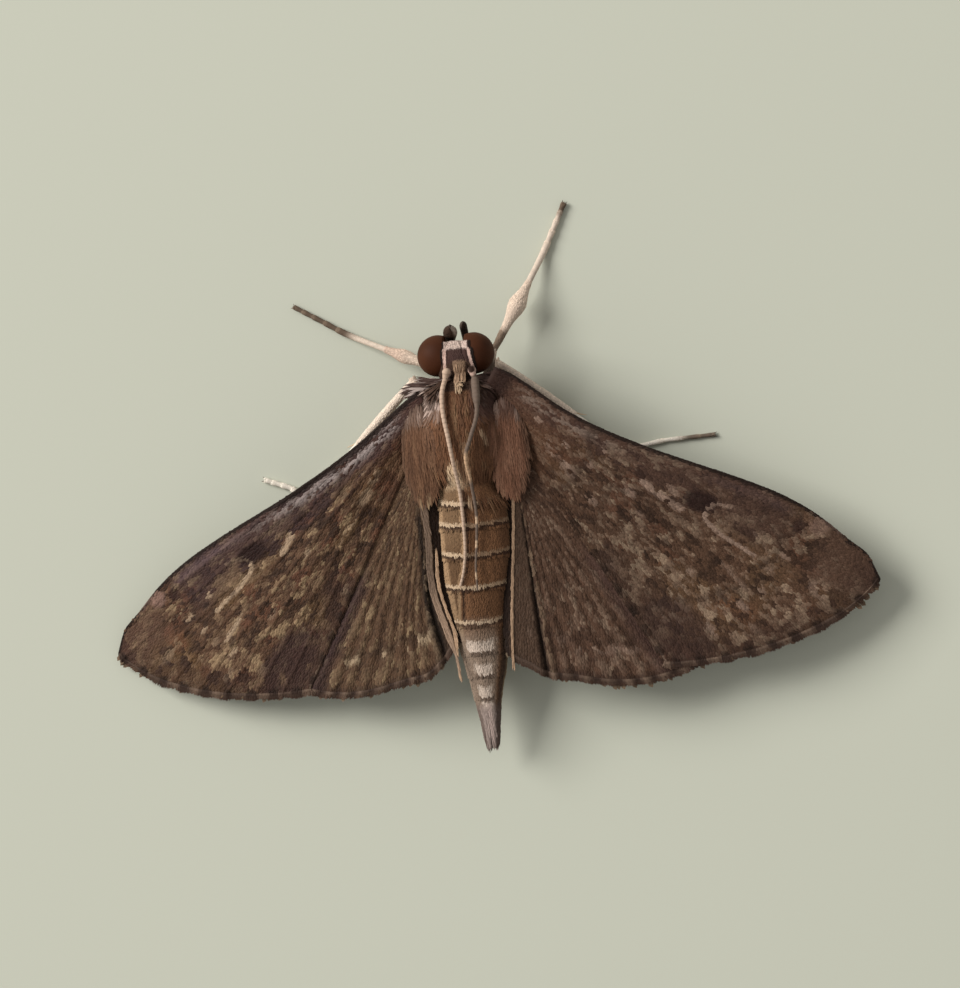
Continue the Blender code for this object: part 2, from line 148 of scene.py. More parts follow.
def ease(low, high, value):
    """0 below low, 1 above high, and 3t^2 - 2t^3 between."""
    t = np.clip((value - low) / (high - low), 0.0, 1.0)
    return t * t * (3.0 - 2.0 * t)


def bell(off, width):
    """1 where off is 0, falling away on both sides: e to the minus (off / width) squared."""
    return np.exp(-(off / width) ** 2)


def of_side(label, left, right):
    """The value for the moth's left side, or for its right side."""
    return left if label == "left" else right


print("a grid of 3 by 4 points has", len(grid_quads(3, 4)), "quads")

# %% [markdown]
# ## Colours and noise
#
# Colours are picked as sRGB hex values and turned to linear light once, in `linear`. The mottling of a
# moth's wing is chance within rules, so a small value noise stands in for it: chance numbers on a
# lattice, read smoothly between its corners. It is worked out from whole-number hashing and so gives
# the same moth on every run.

# %% Colours
def linear(hex_code):
    """An sRGB hex code as three linear values."""
    srgb = np.array([int(hex_code[i:i + 2], 16) for i in (1, 3, 5)]) / 255.0
    return np.where(srgb <= 0.04045, srgb / 12.92, ((srgb + 0.055) / 1.055) ** 2.4)


def plain(hex_code, *shape):
    """One colour for every place of an array of this shape."""
    return np.broadcast_to(linear(hex_code), (*shape, 3)).copy()


def paint(colours, hex_code, amount):
    """Move colours (n, 3) in place towards one colour by an amount (n) from 0 to 1, and return them."""
    colours += (linear(hex_code) - colours) * np.clip(amount, 0.0, 1.0)[..., None]
    return colours


print("mid grey, linear:", linear("#808080").round(3))

# %% Value noise and cells
def corner(ix, iy, seed):
    """A chance number from 0 to 1 for each lattice corner: whole-number mixing of its indices."""
    mixed = (ix * 374761393 + iy * 668265263 + seed * 974634777) & 0xFFFFFFFF
    mixed = ((mixed ^ (mixed >> 13)) * 1274126177) & 0xFFFFFFFF
    return ((mixed ^ (mixed >> 16)) & 0xFFFF) / 65535.0


def noise(x, y, seed):
    """Value noise from 0 to 1: the four corners round (x, y) blended by smooth shares."""
    ix, iy = np.floor(x).astype(np.int64), np.floor(y).astype(np.int64)
    tx, ty = ease(0, 1, x - ix), ease(0, 1, y - iy)
    low = corner(ix, iy, seed) * (1 - tx) + corner(ix + 1, iy, seed) * tx
    high = corner(ix, iy + 1, seed) * (1 - tx) + corner(ix + 1, iy + 1, seed) * tx
    return low * (1 - ty) + high * ty


def cells(x, y, seed):
    """Angular patches: each lattice cell has one jittered point, and every place belongs to the nearest.

    Returns the chance number of that cell and how far along x the place lies from its point."""
    ix, iy = np.floor(x).astype(np.int64), np.floor(y).astype(np.int64)
    nearest, tone, ahead = np.full(x.shape, 9.0), np.zeros(x.shape), np.zeros(x.shape)
    for shift_x, shift_y in np.ndindex(3, 3):
        cx, cy = ix + shift_x - 1, iy + shift_y - 1
        away_x = x - (cx + 0.1 + 0.8 * corner(cx, cy, seed + 500))
        away_y = y - (cy + 0.1 + 0.8 * corner(cx, cy, seed + 700))
        away = away_x ** 2 + away_y ** 2
        closer = away < nearest
        nearest = np.where(closer, away, nearest)
        tone = np.where(closer, corner(cx, cy, seed), tone)
        ahead = np.where(closer, away_x, ahead)
    return tone, ahead


print("noise at three places:", noise(np.array([0.1, 1.5, 2.9]), np.zeros(3), 1).round(2))

# %% [markdown]
# ## The trunk
#
# Head, thorax and abdomen are one tube whose oval section changes along the body. Its stations give
# the height of the middle, the half width and the half height; a Catmull-Rom line runs through them.
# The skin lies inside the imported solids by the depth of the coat.

# %% Stations of the trunk
TRUNK = np.array([
    (-4.60, 2.20, 0.30, 0.34), (-4.42, 2.21, 0.52, 0.54), (-4.12, 2.22, 0.62, 0.62),
    (-3.82, 2.21, 0.58, 0.58), (-3.62, 2.19, 0.50, 0.54), (-3.54, 2.17, 0.78, 0.70),
    (-3.40, 2.16, 0.96, 0.86),
    (-2.90, 2.15, 1.07, 1.07), (-2.20, 2.12, 1.15, 1.18), (-1.50, 2.06, 1.08, 1.08),
    (-0.95, 1.99, 0.84, 0.80), (-0.40, 1.93, 0.88, 0.76), (0.40, 1.83, 0.91, 0.74),
    (1.20, 1.70, 0.86, 0.71), (2.10, 1.54, 0.74, 0.63), (3.20, 1.34, 0.61, 0.54),
    (4.10, 1.18, 0.48, 0.44), (4.95, 1.03, 0.33, 0.30), (5.60, 0.93, 0.22, 0.19),
    (6.00, 0.86, 0.08, 0.07),
])
WAIST_Y, VENT_Y = -0.95, 4.95
PLATE_EDGES = np.array([WAIST_Y, -0.40, 0.16, 0.92, 1.75, 2.66, 3.38, 3.98, 4.56, VENT_Y])
COAT_DEPTH = 0.09


def through(points, steps):
    """A Catmull-Rom line through rows of numbers, with `steps` pieces between each two."""
    rows = np.asarray(points, float)
    padded = np.vstack([2 * rows[0] - rows[1], rows, 2 * rows[-1] - rows[-2]])
    a, b, c, d = (padded[i:len(padded) - 3 + i, None, :] for i in range(4))
    t = (np.arange(steps) / steps)[None, :, None]
    square, cube = 2 * a - 5 * b + 4 * c - d, 3 * b - a - 3 * c + d
    line = 0.5 * (2 * b + (c - a) * t + square * t ** 2 + cube * t ** 3)
    return np.vstack([line.reshape(-1, rows.shape[1]), rows[-1]])


def run_along(line):
    """Distance run along a line of points, from 0 at its first point."""
    return np.concatenate([[0.0], np.cumsum(np.linalg.norm(np.diff(line, axis=0), axis=1))])


TRUNK_LINE = through(TRUNK, 12)
print("trunk, mm long:", round(TRUNK_LINE[-1, 0] - TRUNK_LINE[0, 0], 2))

# %% Trunk as a function of place and turn
def trunk_oval(y):
    """Height of the middle, half width and half height of the trunk at y."""
    return [np.interp(y, TRUNK_LINE[:, 0], TRUNK_LINE[:, k]) for k in (1, 2, 3)]


def plate_edges(y):
    """Front and hind edge of the back plate that y lies in."""
    index = np.clip(np.searchsorted(PLATE_EDGES, y, side="right") - 1, 0, len(PLATE_EDGES) - 2)
    return PLATE_EDGES[index], PLATE_EDGES[index + 1]


def plate_share(y):
    """How far y is along its back plate, 0 at the front edge and 1 at the hind one."""
    start, end = plate_edges(y)
    return np.clip((y - start) / (end - start), 0.0, 1.0)


def body_bend(y):
    """How far the abdomen's axis swings to the moth's left, towards its tip."""
    tip = 0.09 * ease(0.2, 2.6, y) * (1.0 - 0.75 * ease(2.6, 4.2, y))
    return tip - 0.04 * ease(-1.2, -0.6, y) * ease(1.6, 0.6, y)


def trunk_point(y, turn, inset=COAT_DEPTH):
    """Point of the trunk at y and turn (0 to the left, a quarter at the top), `inset` inside the solid.

    An oval of the station's half width and half height, with a low ridge along the back of the
    abdomen, and each back plate swelling by 4% towards its hind edge."""
    y, turn = np.broadcast_arrays(np.asarray(y, float), np.asarray(turn, float))
    middle, wide, high = trunk_oval(y)
    on_abdomen = ease(WAIST_Y, WAIST_Y + 0.3, y)
    wide = wide + 0.12 * ease(WAIST_Y, WAIST_Y + 0.5, y) * ease(4.6, 3.4, y) * (np.cos(turn) < 0)
    lip = 1.0 - 0.035 * on_abdomen * (1.0 - plate_share(y) ** 1.5) * ease(6.0, 5.0, y)
    ridge = 1.0 + 0.04 * on_abdomen * bell(turn - math.pi / 2, 0.28)
    size = lip * ridge
    x = np.maximum(wide - inset, 0.02) * np.cos(turn) * size + body_bend(y)
    z = middle + np.maximum(high - inset, 0.02) * np.sin(turn) * size
    return np.stack([x, y, z], -1)


def back_height(x, y):
    """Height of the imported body's upper surface over (x, y), or of its middle beyond its sides."""
    middle, wide, high = trunk_oval(y)
    return middle + high * np.sqrt(1.0 - np.clip(np.abs(x) / wide, 0.0, 1.0) ** 2)


print("height of the back over the waist, mm:", round(float(back_height(0.0, WAIST_Y)), 2))

# %% [markdown]
# ## Tubes
#
# Legs, palps, feelers and tongue are all a round profile carried along a path. `tube_rings` builds the
# rings from the path's own direction and a side direction square to it, and `close_tube` shuts both
# ends with a pole, so that the tube is one closed body.

# %% Profile along a path
def tube_frame(path):
    """Unit directions along, beside and above a path; beside is along crossed with up."""
    along = unit(np.gradient(path, axis=0))
    beside = unit(np.cross(along, UP) + np.array([1e-6, 0.0, 0.0]))
    return along, beside, np.cross(beside, along)


def tube_rings(path, radius, sides):
    """Rings of `sides` points: path + radius times (cos turn beside + sin turn above)."""
    _, beside, above = tube_frame(path)
    turn = np.arange(sides) * 2 * math.pi / sides
    spokes = np.cos(turn)[None, :, None] * beside[:, None] + np.sin(turn)[None, :, None] * above[:, None]
    return path[:, None] + np.asarray(radius)[:, None, None] * spokes


def close_tube(rings):
    """Points and faces of a tube closed at both ends by a fan round a pole."""
    rows, sides = rings.shape[:2]
    points = np.vstack([rings.reshape(-1, 3), rings[0].mean(axis=0), rings[-1].mean(axis=0)])
    first, last = rows * sides, rows * sides + 1
    here = np.arange(sides)
    after = (here + 1) % sides
    top = (rows - 1) * sides
    start_fan = np.stack([after, here, np.full(sides, first)], -1)
    end_fan = np.stack([top + here, top + after, np.full(sides, last)], -1)
    return points, [grid_quads(rows, sides, True), start_fan, end_fan]


rod = np.column_stack([np.linspace(0.0, 1.0, 5), np.zeros((5, 2))])
print("a rod of 5 rings has", len(close_tube(tube_rings(rod, np.full(5, 0.1), 12))[0]), "points")

# %% Closed bodies
def signed_volume(points, faces):
    """Six times the volume that a closed mesh holds: positive where its faces point outwards."""
    total = 0.0
    for block in faces:
        for k in range(1, block.shape[1] - 1):
            a, b, c = points[block[:, 0]], points[block[:, k]], points[block[:, k + 1]]
            total += dot(a, np.cross(b, c)).sum()
    return total


def outwards(points, faces):
    """The same faces, turned over if the mesh was inside out."""
    return faces if signed_volume(points, faces) > 0 else [block[:, ::-1] for block in faces]


def joined(parts):
    """Many (points, faces) as one, each part's indices moved past those before it."""
    points, faces, count = [], [], 0
    for part_points, part_faces in parts:
        points.append(part_points)
        faces += [block + count for block in part_faces]
        count += len(part_points)
    return np.vstack(points), faces


rod_volume = abs(signed_volume(*close_tube(tube_rings(rod, np.full(5, 0.1), 12)))) / 6
print("and holds, cubic mm:", round(rod_volume, 4))

# %% [markdown]
# ## Legs
#
# A moth's leg is a thigh, a shin and a foot of five joints, thin and hard, with a tight coat. The fore
# shin carries a swollen brush of scales at its end. Each foot lies flat on the floor. The routes are
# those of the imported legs, but the limbs are as thin as real ones and lie in the lower, outer part of
# those solids.

# %% Routes of the legs
FOOT_RADIUS = 0.065
LEGS = {                            # hip, knee and ankle; ball and toe, which lie on the floor
    "foreleg_left": [
        (0.36, -2.75, 0.90), (0.56, -3.92, 0.86), (2.02, -4.56, 0.42), (3.10, -5.07), (4.46, -5.90)],
    "foreleg_right": [
        (-0.36, -2.75, 0.90), (-0.78, -4.27, 1.00), (-1.74, -5.96, 0.42), (-2.20, -6.80), (-2.80, -7.98)],
    "midleg_left": [
        (0.70, -1.98, 0.95), (1.36, -3.70, 0.80), (2.98, -2.22, 0.40), (4.36, -0.98), (5.60, -1.46)],
    "midleg_right": [
        (-0.70, -1.98, 0.95), (-0.79, -4.04, 0.66), (-2.66, -2.54, 0.40), (-3.86, -1.64), (-6.22, -1.72)],
    "hindleg_left": [
        (0.52, -1.32, 0.86), (1.60, -0.32, 0.80), (2.74, 2.06, 0.42), (3.30, 2.90), (4.06, 3.82)],
    "hindleg_right": [
        (-0.52, -1.32, 0.86), (-1.60, -0.32, 0.80), (-2.78, 2.10, 0.42), (-3.36, 2.96), (-4.12, 3.88)],
}
# Feet with a fuller coat are so many times as thick as the others
FOOT_THICK = {"foreleg_left": 1.35, "foreleg_right": 1.5, "midleg_left": 1.45, "midleg_right": 1.15}
FOOT_JOINTS = np.array([0.0, 0.44, 0.62, 0.77, 0.89, 1.0])     # ends of the five foot joints


def straight(start, end, count):
    """`count` points evenly from start to end."""
    t = np.linspace(0.0, 1.0, count)[:, None]
    return np.asarray(start, float) * (1 - t) + np.asarray(end, float) * t


def foot_route(ankle, ball, toe, thick):
    """Smooth foot route from the ankle down to the floor and along it to the toe."""
    ball, toe = (*ball, FOOT_RADIUS * thick + 0.01), (*toe, FOOT_RADIUS * 0.8 * thick)
    mid = tuple((np.array(ball) + np.array(toe)) / 2)
    route = through([ankle, ball, mid, toe], 16)
    route[:, 2] = np.maximum(route[:, 2], thick * np.linspace(0.078, 0.054, len(route)))
    return route


print("legs:", list(LEGS))

# %% Thickness of the legs
def limb_tubes(name):
    """The thigh, shin and foot of one leg as (part name, path, radius)."""
    hip, knee, ankle, ball, toe = LEGS[name]
    is_fore, is_hind = name.startswith("fore"), name.startswith("hind")
    inside = (hip[0] * 0.9, hip[1] + 0.05, hip[2] + 0.55)
    thigh = through([inside, hip, tuple((np.array(hip) + np.array(knee)) / 2), knee], 8)
    t = np.linspace(0, 1, len(thigh))
    belly = 0.075 * np.sin(math.pi * np.clip(t * 1.15, 0, 1))
    thigh_radius = 0.13 + belly + 0.06 * (1 - t) ** 2 - 0.03 * t ** 4
    shin = straight(knee, ankle, 20)
    t = np.linspace(0, 1, 20)
    shin_radius = 0.095 + 0.03 * np.sin(math.pi * t)
    if is_fore:
        brush = 0.115 if name == "foreleg_right" else 0.065
        shin_radius = shin_radius + brush * bell(t - 0.70, 0.17) - 0.02 * (1 - t)
    if is_hind:
        shin_radius = shin_radius + 0.02
    thick = FOOT_THICK.get(name, 1.0)
    foot = foot_route(ankle, ball, toe, thick)
    t = np.linspace(0, 1, len(foot))
    index = np.clip(np.searchsorted(FOOT_JOINTS, t, side="right") - 1, 0, 4)
    share = (t - FOOT_JOINTS[index]) / (FOOT_JOINTS[index + 1] - FOOT_JOINTS[index])
    foot_radius = thick * (FOOT_RADIUS - 0.018 * t) * (0.86 + 0.2 * ease(0.3, 0.95, share))
    return [("femur", thigh, thigh_radius), ("tibia", shin, shin_radius), ("tarsus", foot, foot_radius)]


limbs = {name: limb_tubes(name) for name in LEGS}
for name, tubes in limbs.items():
    print(name, "is", round(sum(run_along(path)[-1] for _, path, _ in tubes), 1), "mm long")

# %% [markdown]
# ## Finishes
#
# Almost all of a moth is one stuff: flat scales of chitin, coloured by pigment and by fine ridges that
# scatter light. They are dull, with a faint sheen at grazing angles. Each scale's colour comes from the
# `scales` attribute, and a fine noise in the object's own space breaks it up by a few percent. The
# skin below reads the same attribute, so that no gap in the coat can show another colour.

# %% Nodes of a finish
def node(tree, kind, settings=None, **inputs):
    """Add a node; settings are its properties, and inputs are values or output sockets by input name."""
    made = tree.nodes.new(kind)
    for key, value in (settings or {}).items():
        setattr(made, key, value)
    for key, value in inputs.items():
        socket = made.inputs[key.replace("_", " ")]
        if isinstance(value, bpy.types.NodeSocket):
            tree.links.new(value, socket)
        else:
            socket.default_value = value
    return made


def new_finish(name, roughness, specular=0.5):
    """A Principled material with its tree, shader and the socket of the object's own coordinates."""
    made = bpy.data.materials.new(name)
    made.use_nodes = True
    tree = made.node_tree
    shader = tree.nodes["Principled BSDF"]
    shader.inputs["Roughness"].default_value = roughness
    shader.inputs["Specular IOR Level"].default_value = specular
    shader.inputs["IOR"].default_value = 1.56            # chitin
    place = node(tree, "ShaderNodeTexCoord").outputs["Object"]
    return made, tree, shader, place


def per_mm(features):
    """Texture scale for so many features in a millimetre, in a frame of metres."""
    return features / MM


print("1 feature a millimetre is a texture scale of", per_mm(1.0))

# %% Finishes of scales and skin
def scaled(name, roughness=0.68, sheen=0.05, bump=0.25, grain=18.0):
    """Scales or scaled skin: colour from the attribute, broken up by grain, with ridges as bump."""
    made, tree, shader, place = new_finish(name, roughness, 0.12)
    colour = node(tree, "ShaderNodeVertexColor", {"layer_name": "scales"}).outputs["Color"]
    specks = node(tree, "ShaderNodeTexNoise", Vector=place, Scale=per_mm(grain), Detail=2.0).outputs["Fac"]
    value = node(tree, "ShaderNodeMapRange", Value=specks,
                 From_Min=0.25, From_Max=0.75, To_Min=0.86, To_Max=1.14)
    mixed = node(tree, "ShaderNodeHueSaturation", Color=colour, Value=value.outputs["Result"])
    tree.links.new(mixed.outputs["Color"], shader.inputs["Base Color"])
    ridges = node(tree, "ShaderNodeBump", Height=specks, Strength=bump, Distance=0.01 * MM)
    tree.links.new(ridges.outputs["Normal"], shader.inputs["Normal"])
    shader.inputs["Sheen Weight"].default_value = sheen
    shader.inputs["Sheen Roughness"].default_value = 0.4
    shader.inputs["Sheen Tint"].default_value = (1.0, 0.93, 0.88, 1.0)
    return made


wing_scale = scaled("chitin scales, wing")
body_scale = scaled("chitin scales, body", roughness=0.72, sheen=0.06)
body_skin_finish = scaled("cuticle under scales", roughness=0.7, sheen=0.0, bump=0.4, grain=10.0)
membrane_finish = scaled("wing membrane with ground scales", roughness=0.7, sheen=0.0, bump=0.5, grain=14.0)
print("scale finishes:", wing_scale.name, "and", body_scale.name)

# %% Finish of the eyes
def eye_finish():
    """Compound eye: dark red-brown lens chitin, glossy, with facets of 0.024 mm as cells in the bump."""
    made, tree, shader, place = new_finish("compound eye, lens chitin", 0.6, 0.08)
    lenses = node(tree, "ShaderNodeTexVoronoi", {"feature": "F1"}, Vector=place,
                  Scale=per_mm(34.0), Randomness=0.25)
    patches = node(tree, "ShaderNodeTexNoise", Vector=place, Scale=per_mm(1.6), Detail=2.0).outputs["Fac"]
    mixed = node(tree, "ShaderNodeMix", {"data_type": "RGBA"}, Factor=patches)
    dark, light = (socket for socket in mixed.inputs if socket.type == "RGBA")
    dark.default_value = (*linear("#31180d"), 1.0)
    light.default_value = (*linear("#54301d"), 1.0)
    result = next(socket for socket in mixed.outputs if socket.type == "RGBA")
    tree.links.new(result, shader.inputs["Base Color"])
    facets = node(tree, "ShaderNodeBump", Height=lenses.outputs["Distance"],
                  Strength=0.35, Distance=0.008 * MM)
    facets.invert = True
    tree.links.new(facets.outputs["Normal"], shader.inputs["Normal"])
    shader.inputs["Coat Weight"].default_value = 0.0
    shader.inputs["Coat Roughness"].default_value = 0.2
    return made


eye_chitin = eye_finish()
print("eye finish:", eye_chitin.name)

# %% [markdown]
# ## One scale, and many
#
# A wing scale is a thin flat paddle, rooted in a socket at its narrow end. It could be a flat card, but
# a card has no inside and goes wrong at its edges, so each is a closed body of eight points and twelve
# triangles: a rim of six and a point above and below the middle. Hairs are the same body drawn long and
# narrow. All scales of a coat are computed at once, as one array with a row per scale.

# %% One scale
RIM = np.array([(0.0, 0.0), (0.40, 0.36), (0.50, 0.74), (0.0, 1.0), (-0.50, 0.74), (-0.40, 0.36)])
VANE = np.vstack([np.column_stack([RIM, np.zeros(6)]), [(0.0, 0.55, 1.0)], [(0.0, 0.55, -0.35)]])
AROUND = np.arange(6)
VANE_FACES = np.vstack([
    np.column_stack([np.full(6, 6), AROUND, (AROUND + 1) % 6]),
    np.column_stack([np.full(6, 7), (AROUND + 1) % 6, AROUND]),
])
SCALE_THICK = 0.012
FLOOR_GAP = 0.003                   # mm that every scale keeps from the floor
MAP_PATCH, MAP_MARGIN = 0.003, 0.01    # size of a scale's patch, and the empty rim of the map


def vanes(root, along, normal, length, width, lift, curl):
    """Points (n, 8, 3) of scales at root: their run goes along, and rises by lift run - curl run^2."""
    across = unit(np.cross(along, normal))
    side, run, rise = VANE.T
    height = length[:, None] * (lift[:, None] * run - curl[:, None] * run ** 2) + SCALE_THICK * rise
    return (root[:, None] + across[:, None] * (width[:, None] * side)[..., None]
            + along[:, None] * (length[:, None] * run)[..., None] + normal[:, None] * height[..., None])


print("one scale:", len(VANE), "points,", len(VANE_FACES), "triangles")

# %% A coat of scales
def spun(along, normal, angle):
    """Directions turned in the surface by small angles."""
    across = np.cross(normal, along)
    return unit(along * np.cos(angle)[:, None] + across * np.sin(angle)[:, None])


def surface_frame(surface, u, v, step=2e-3):
    """Points of a surface, unit directions along u, and normals by the cross product of both slopes."""
    along = unit(surface(u + step, v) - surface(u - step, v))
    aside = unit(surface(u, v + step) - surface(u, v - step))
    return surface(u, v), along, unit(np.cross(along, aside))


def on_map(u, v):
    """A place on a coat's map, which keeps a margin all round."""
    return np.column_stack([u, v]) * (1.0 - 2.0 * MAP_MARGIN) + MAP_MARGIN


class Coat:
    """Scales of one coat, gathered batch by batch and made into one mesh."""

    def __init__(self):
        self.points, self.colours, self.maps = [], [], []

    def add(self, root, along, normal, size, colours, place, rng,
            lift=0.12, curl=0.08, loose=0.10, ragged=0.2):
        """Lay scales; size is length and width in mm, loose a turn in radians, ragged the spread of sizes."""
        count = len(root)
        length = size[0] * (1 + ragged * (rng.random(count) - 0.5) * 2)
        width = size[1] * (1 + ragged * (rng.random(count) - 0.5))
        along = spun(along, normal, loose * rng.standard_normal(count))
        raised = lift * (0.5 + rng.random(count))
        self.points.append(vanes(root, along, normal, length, width, raised, np.full(count, 1.0) * curl))
        # Each scale's tone varies by chance, and it is painted darker towards its root, as painted shade
        # under the scales that overlap it.
        tone = (0.88 + 0.24 * rng.random(count))[:, None, None] * (0.84 + 0.22 * VANE[:, 1])[None, :, None]
        self.colours.append(np.clip(colours[:, None] * tone, 0.0, 1.0))
        patch = MAP_PATCH * (VANE[:, :2] - (0.0, 0.5))
        self.maps.append(np.clip(place[:, None] + patch[None], 0.0, 1.0))

    def make(self, name, finish):
        """Join the batches into a piece that rides the body."""
        points = np.concatenate(self.points)
        points[..., 2] = np.maximum(points[..., 2], FLOOR_GAP)
        count = len(points)
        faces = (VANE_FACES[None] + np.arange(count)[:, None, None] * len(VANE)).reshape(-1, 3)
        made = add_piece(name, points.reshape(-1, 3), [faces], finish,
                         np.concatenate(self.colours).reshape(-1, 3),
                         np.concatenate(self.maps).reshape(-1, 2), smooth=False)
        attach(made, "root")
        print(f"{name}: {count} scales, {len(faces)} triangles")


print("a coat starts with", len(Coat().points), "batches")

# %% Scattered places
def scattered(u_range, v_range, u_step, v_step, rng):
    """Staggered rows of places over a rectangle, each moved by up to a third of a step."""
    rows = max(int((u_range[1] - u_range[0]) / u_step), 1)
    columns = max(int((v_range[1] - v_range[0]) / v_step), 1)
    u, v = np.meshgrid(np.arange(rows) + 0.5, np.arange(columns) + 0.5, indexing="ij")
    v = v + 0.5 * (np.arange(rows) % 2)[:, None] - 0.25
    u = (u + 0.66 * (rng.random(u.shape) - 0.5)) / rows
    v = (v + 0.66 * (rng.random(v.shape) - 0.5)) / columns
    u, v = (start + share * (end - start) for share, (start, end) in ((u, u_range), (v, v_range)))
    return u.ravel(), v.ravel()


# %% [markdown]
# ## Wings: their planes and outlines
#
# Each pair of wings lies close to one plane through the hinge. The wing planes droop outwards, and
# pitch down towards the hind edge. The fore wing is a long triangle with a bowed front edge, and the
# hind wing a fan pleated like a folded paper, most of it under the fore wing. A real wing is a film a
# few thousandths of a millimetre thick; here it is 0.03 mm, which still reads as a film and keeps the
# surfaces from touching. The veins stand out as low ridges that fan from the root.

# %% Sizes of the wings
HINGE = np.array([1.00, -2.60, 2.75])
WING_PITCH, WING_CAMBER, WING_SPAN = 7.0, 0.22, 9.6
WING_DROOP = {"left": 11.3, "right": 7.5}
WING_SWEEP = {"left": 33.5, "right": 32.2}
FORE_SPREAD = {"left": 0.89, "right": 1.00}
HIND_SPREAD = {"left": 0.95, "right": 0.98}
FORE_ROOT = {"left": (0.20, -0.47), "right": (0.20, -0.84)}
FORE_LENGTH = {"left": 10.74, "right": 10.84}
FORE_BOW, FORE_BOW_PEAK, FORE_APEX = 0.76, 2.25, 0.15
FORE_SHOULDER = {"left": 0.14, "right": 0.27}
FORE_CORNER = (7.05, 4.62)
FORE_ROOT_WIDTH = 0.60
HIND_ROOT_BACK, HIND_COSTA_ANGLE = 0.90, 31.0
HIND_ANAL_ANGLE = {"left": 92.3, "right": 91.4}
HIND_ANAL_LENGTH, HIND_REACH = 5.25, 2.65
FILM_THICK = 0.03
FRINGE, APEX_INSET = 0.22, 0.25    # how far the fringe stands beyond the film, and its share at the apex
FORE_LIFT, FORE_SETTLE, HIND_LIFT = -0.06, 0.25, -0.345
print("fore wings, mm long:", FORE_LENGTH)

# %% Planes of the wings
def wing_axes(label):
    """Hinge point and the wing's unit directions out, back and up."""
    side = SIDES[label]
    droop = Matrix.Rotation(math.radians(WING_DROOP[label]), 3, "Y")
    turn = droop @ Matrix.Rotation(math.radians(-WING_PITCH), 3, "X")
    flip = np.array([side, 1.0, 1.0])
    return HINGE * flip, *(np.array(turn @ Vector(axis)) * flip for axis in ((1, 0, 0), (0, 1, 0), (0, 0, 1)))


def wing_place(label, out, back, lift):
    """Points at distances out and back from the hinge, lifted off the wing's cambered plane."""
    hinge, e_out, e_back, e_up = wing_axes(label)
    height = lift + WING_CAMBER * np.sin(math.pi * np.clip(out / WING_SPAN, 0.0, 1.0))
    return hinge + out[..., None] * e_out + back[..., None] * e_back + height[..., None] * e_up


print("left hinge:", wing_axes("left")[0])

# %% Outline and face of the fore wing
def film_length(label):
    """Length of the fore wing's film; at the apex the fringe is short."""
    return FORE_LENGTH[label] - APEX_INSET * FRINGE


def fore_edges(label, along, inset=0.0):
    """Front and hind edge of the fore wing behind its chord, the outer edge drawn in by inset."""
    length = FORE_LENGTH[label] - APEX_INSET * inset
    share = np.clip(along / length, 0.0, 1.0)
    front = -FORE_BOW * np.sin(math.pi * share ** FORE_BOW_PEAK)
    front = front - FORE_SHOULDER[label] * bell(along, 1.5)
    front = front - FORE_APEX * bell(share - 0.95, 0.05)
    corner_along, corner_behind = FORE_CORNER[0] - 0.1 * inset, FORE_CORNER[1] - inset
    inner = FORE_ROOT_WIDTH + (corner_behind - FORE_ROOT_WIDTH) * along / corner_along
    past = np.clip((along - corner_along) / (length - corner_along), 0.0, 1.0)
    outer = corner_behind * (1.0 - past ** 1.15) ** 0.65
    return front * FORE_SPREAD[label], np.where(along < corner_along, inner, outer) * FORE_SPREAD[label]


FAN_START = 1.0                    # the veins spread as if from a point this far before the root
VEIN_ANGLES = np.radians([-2.5, 0.8, 4.6, 8.6, 12.6, 16.6, 20.6, 24.6, 28.4])


def fore_fan(along, behind):
    """Radius and angle of a place on the fore wing round the point from which its veins spread."""
    return np.hypot(along + FAN_START, behind), np.arctan2(behind, along + FAN_START)


def fore_face(label, lift=FORE_LIFT):
    """Fore wing as a function of distance along its chord and behind it.

    The film is lifted off the wing's plane by lift, settles towards the hind wing at its hind edge,
    and carries a rounded ridge 0.022 mm high along each vein."""
    sweep = math.radians(WING_SWEEP[label])
    root_out, root_back = FORE_ROOT[label]

    def point(along, behind):
        radius, angle = fore_fan(along, behind / FORE_SPREAD[label])
        gap = np.abs(angle[..., None] - VEIN_ANGLES).min(axis=-1) * radius
        vein = 0.022 * bell(gap, 0.06) * ease(1.5, 3.5, radius)
        settle = FORE_SETTLE * ease(12.0, 30.0, np.degrees(angle))
        out = root_out + along * math.cos(sweep) - behind * math.sin(sweep)
        back = root_back + along * math.sin(sweep) + behind * math.cos(sweep)
        return wing_place(label, out, back, lift + vein - settle)

    return point


tip = fore_face("left")(np.array([film_length("left")]), np.zeros(1))[0]
print("tip of the left fore wing at, mm:", tip.round(2))

# %% Outline and face of the hind wing
HIND_CORNER = {"left": 0.05, "right": 0.28}          # mm by which the corner beside the body is drawn out
HIND_INNER_SHIFT = {"left": 0.20, "right": 0.24}     # mm by which the inner edge's root clears the body
HIND_INNER_BOW = {"left": 0.23, "right": 0.0}        # mm by which the middle of that edge bows off the body
INNER_TUCK = {"left": 0.55, "right": 0.30}
PLEAT_ANGLE = 3.9                  # degrees from crest to crest
PLEAT_FLAT = {"left": 3.4, "right": 8.4}     # degrees of the strip beside the body that lies flat


def hind_reach(label, angle):
    """Radius of the hind wing's outer edge at an angle in degrees from the span."""
    share = (HIND_ANAL_ANGLE[label] - angle) / (HIND_ANAL_ANGLE[label] - HIND_COSTA_ANGLE)
    rounded = np.clip((share - 0.86) / 0.14, 0.0, 1.0) ** 2
    lobe = 0.28 * bell(share - 0.12, 0.09)
    fan = HIND_REACH * np.sin(0.5 * math.pi * np.clip(share * 1.15, 0, 1))
    reach = HIND_ANAL_LENGTH + fan - 0.9 * rounded + lobe
    return reach * HIND_SPREAD[label] + HIND_CORNER[label] * ease(0.10, 0.0, share)


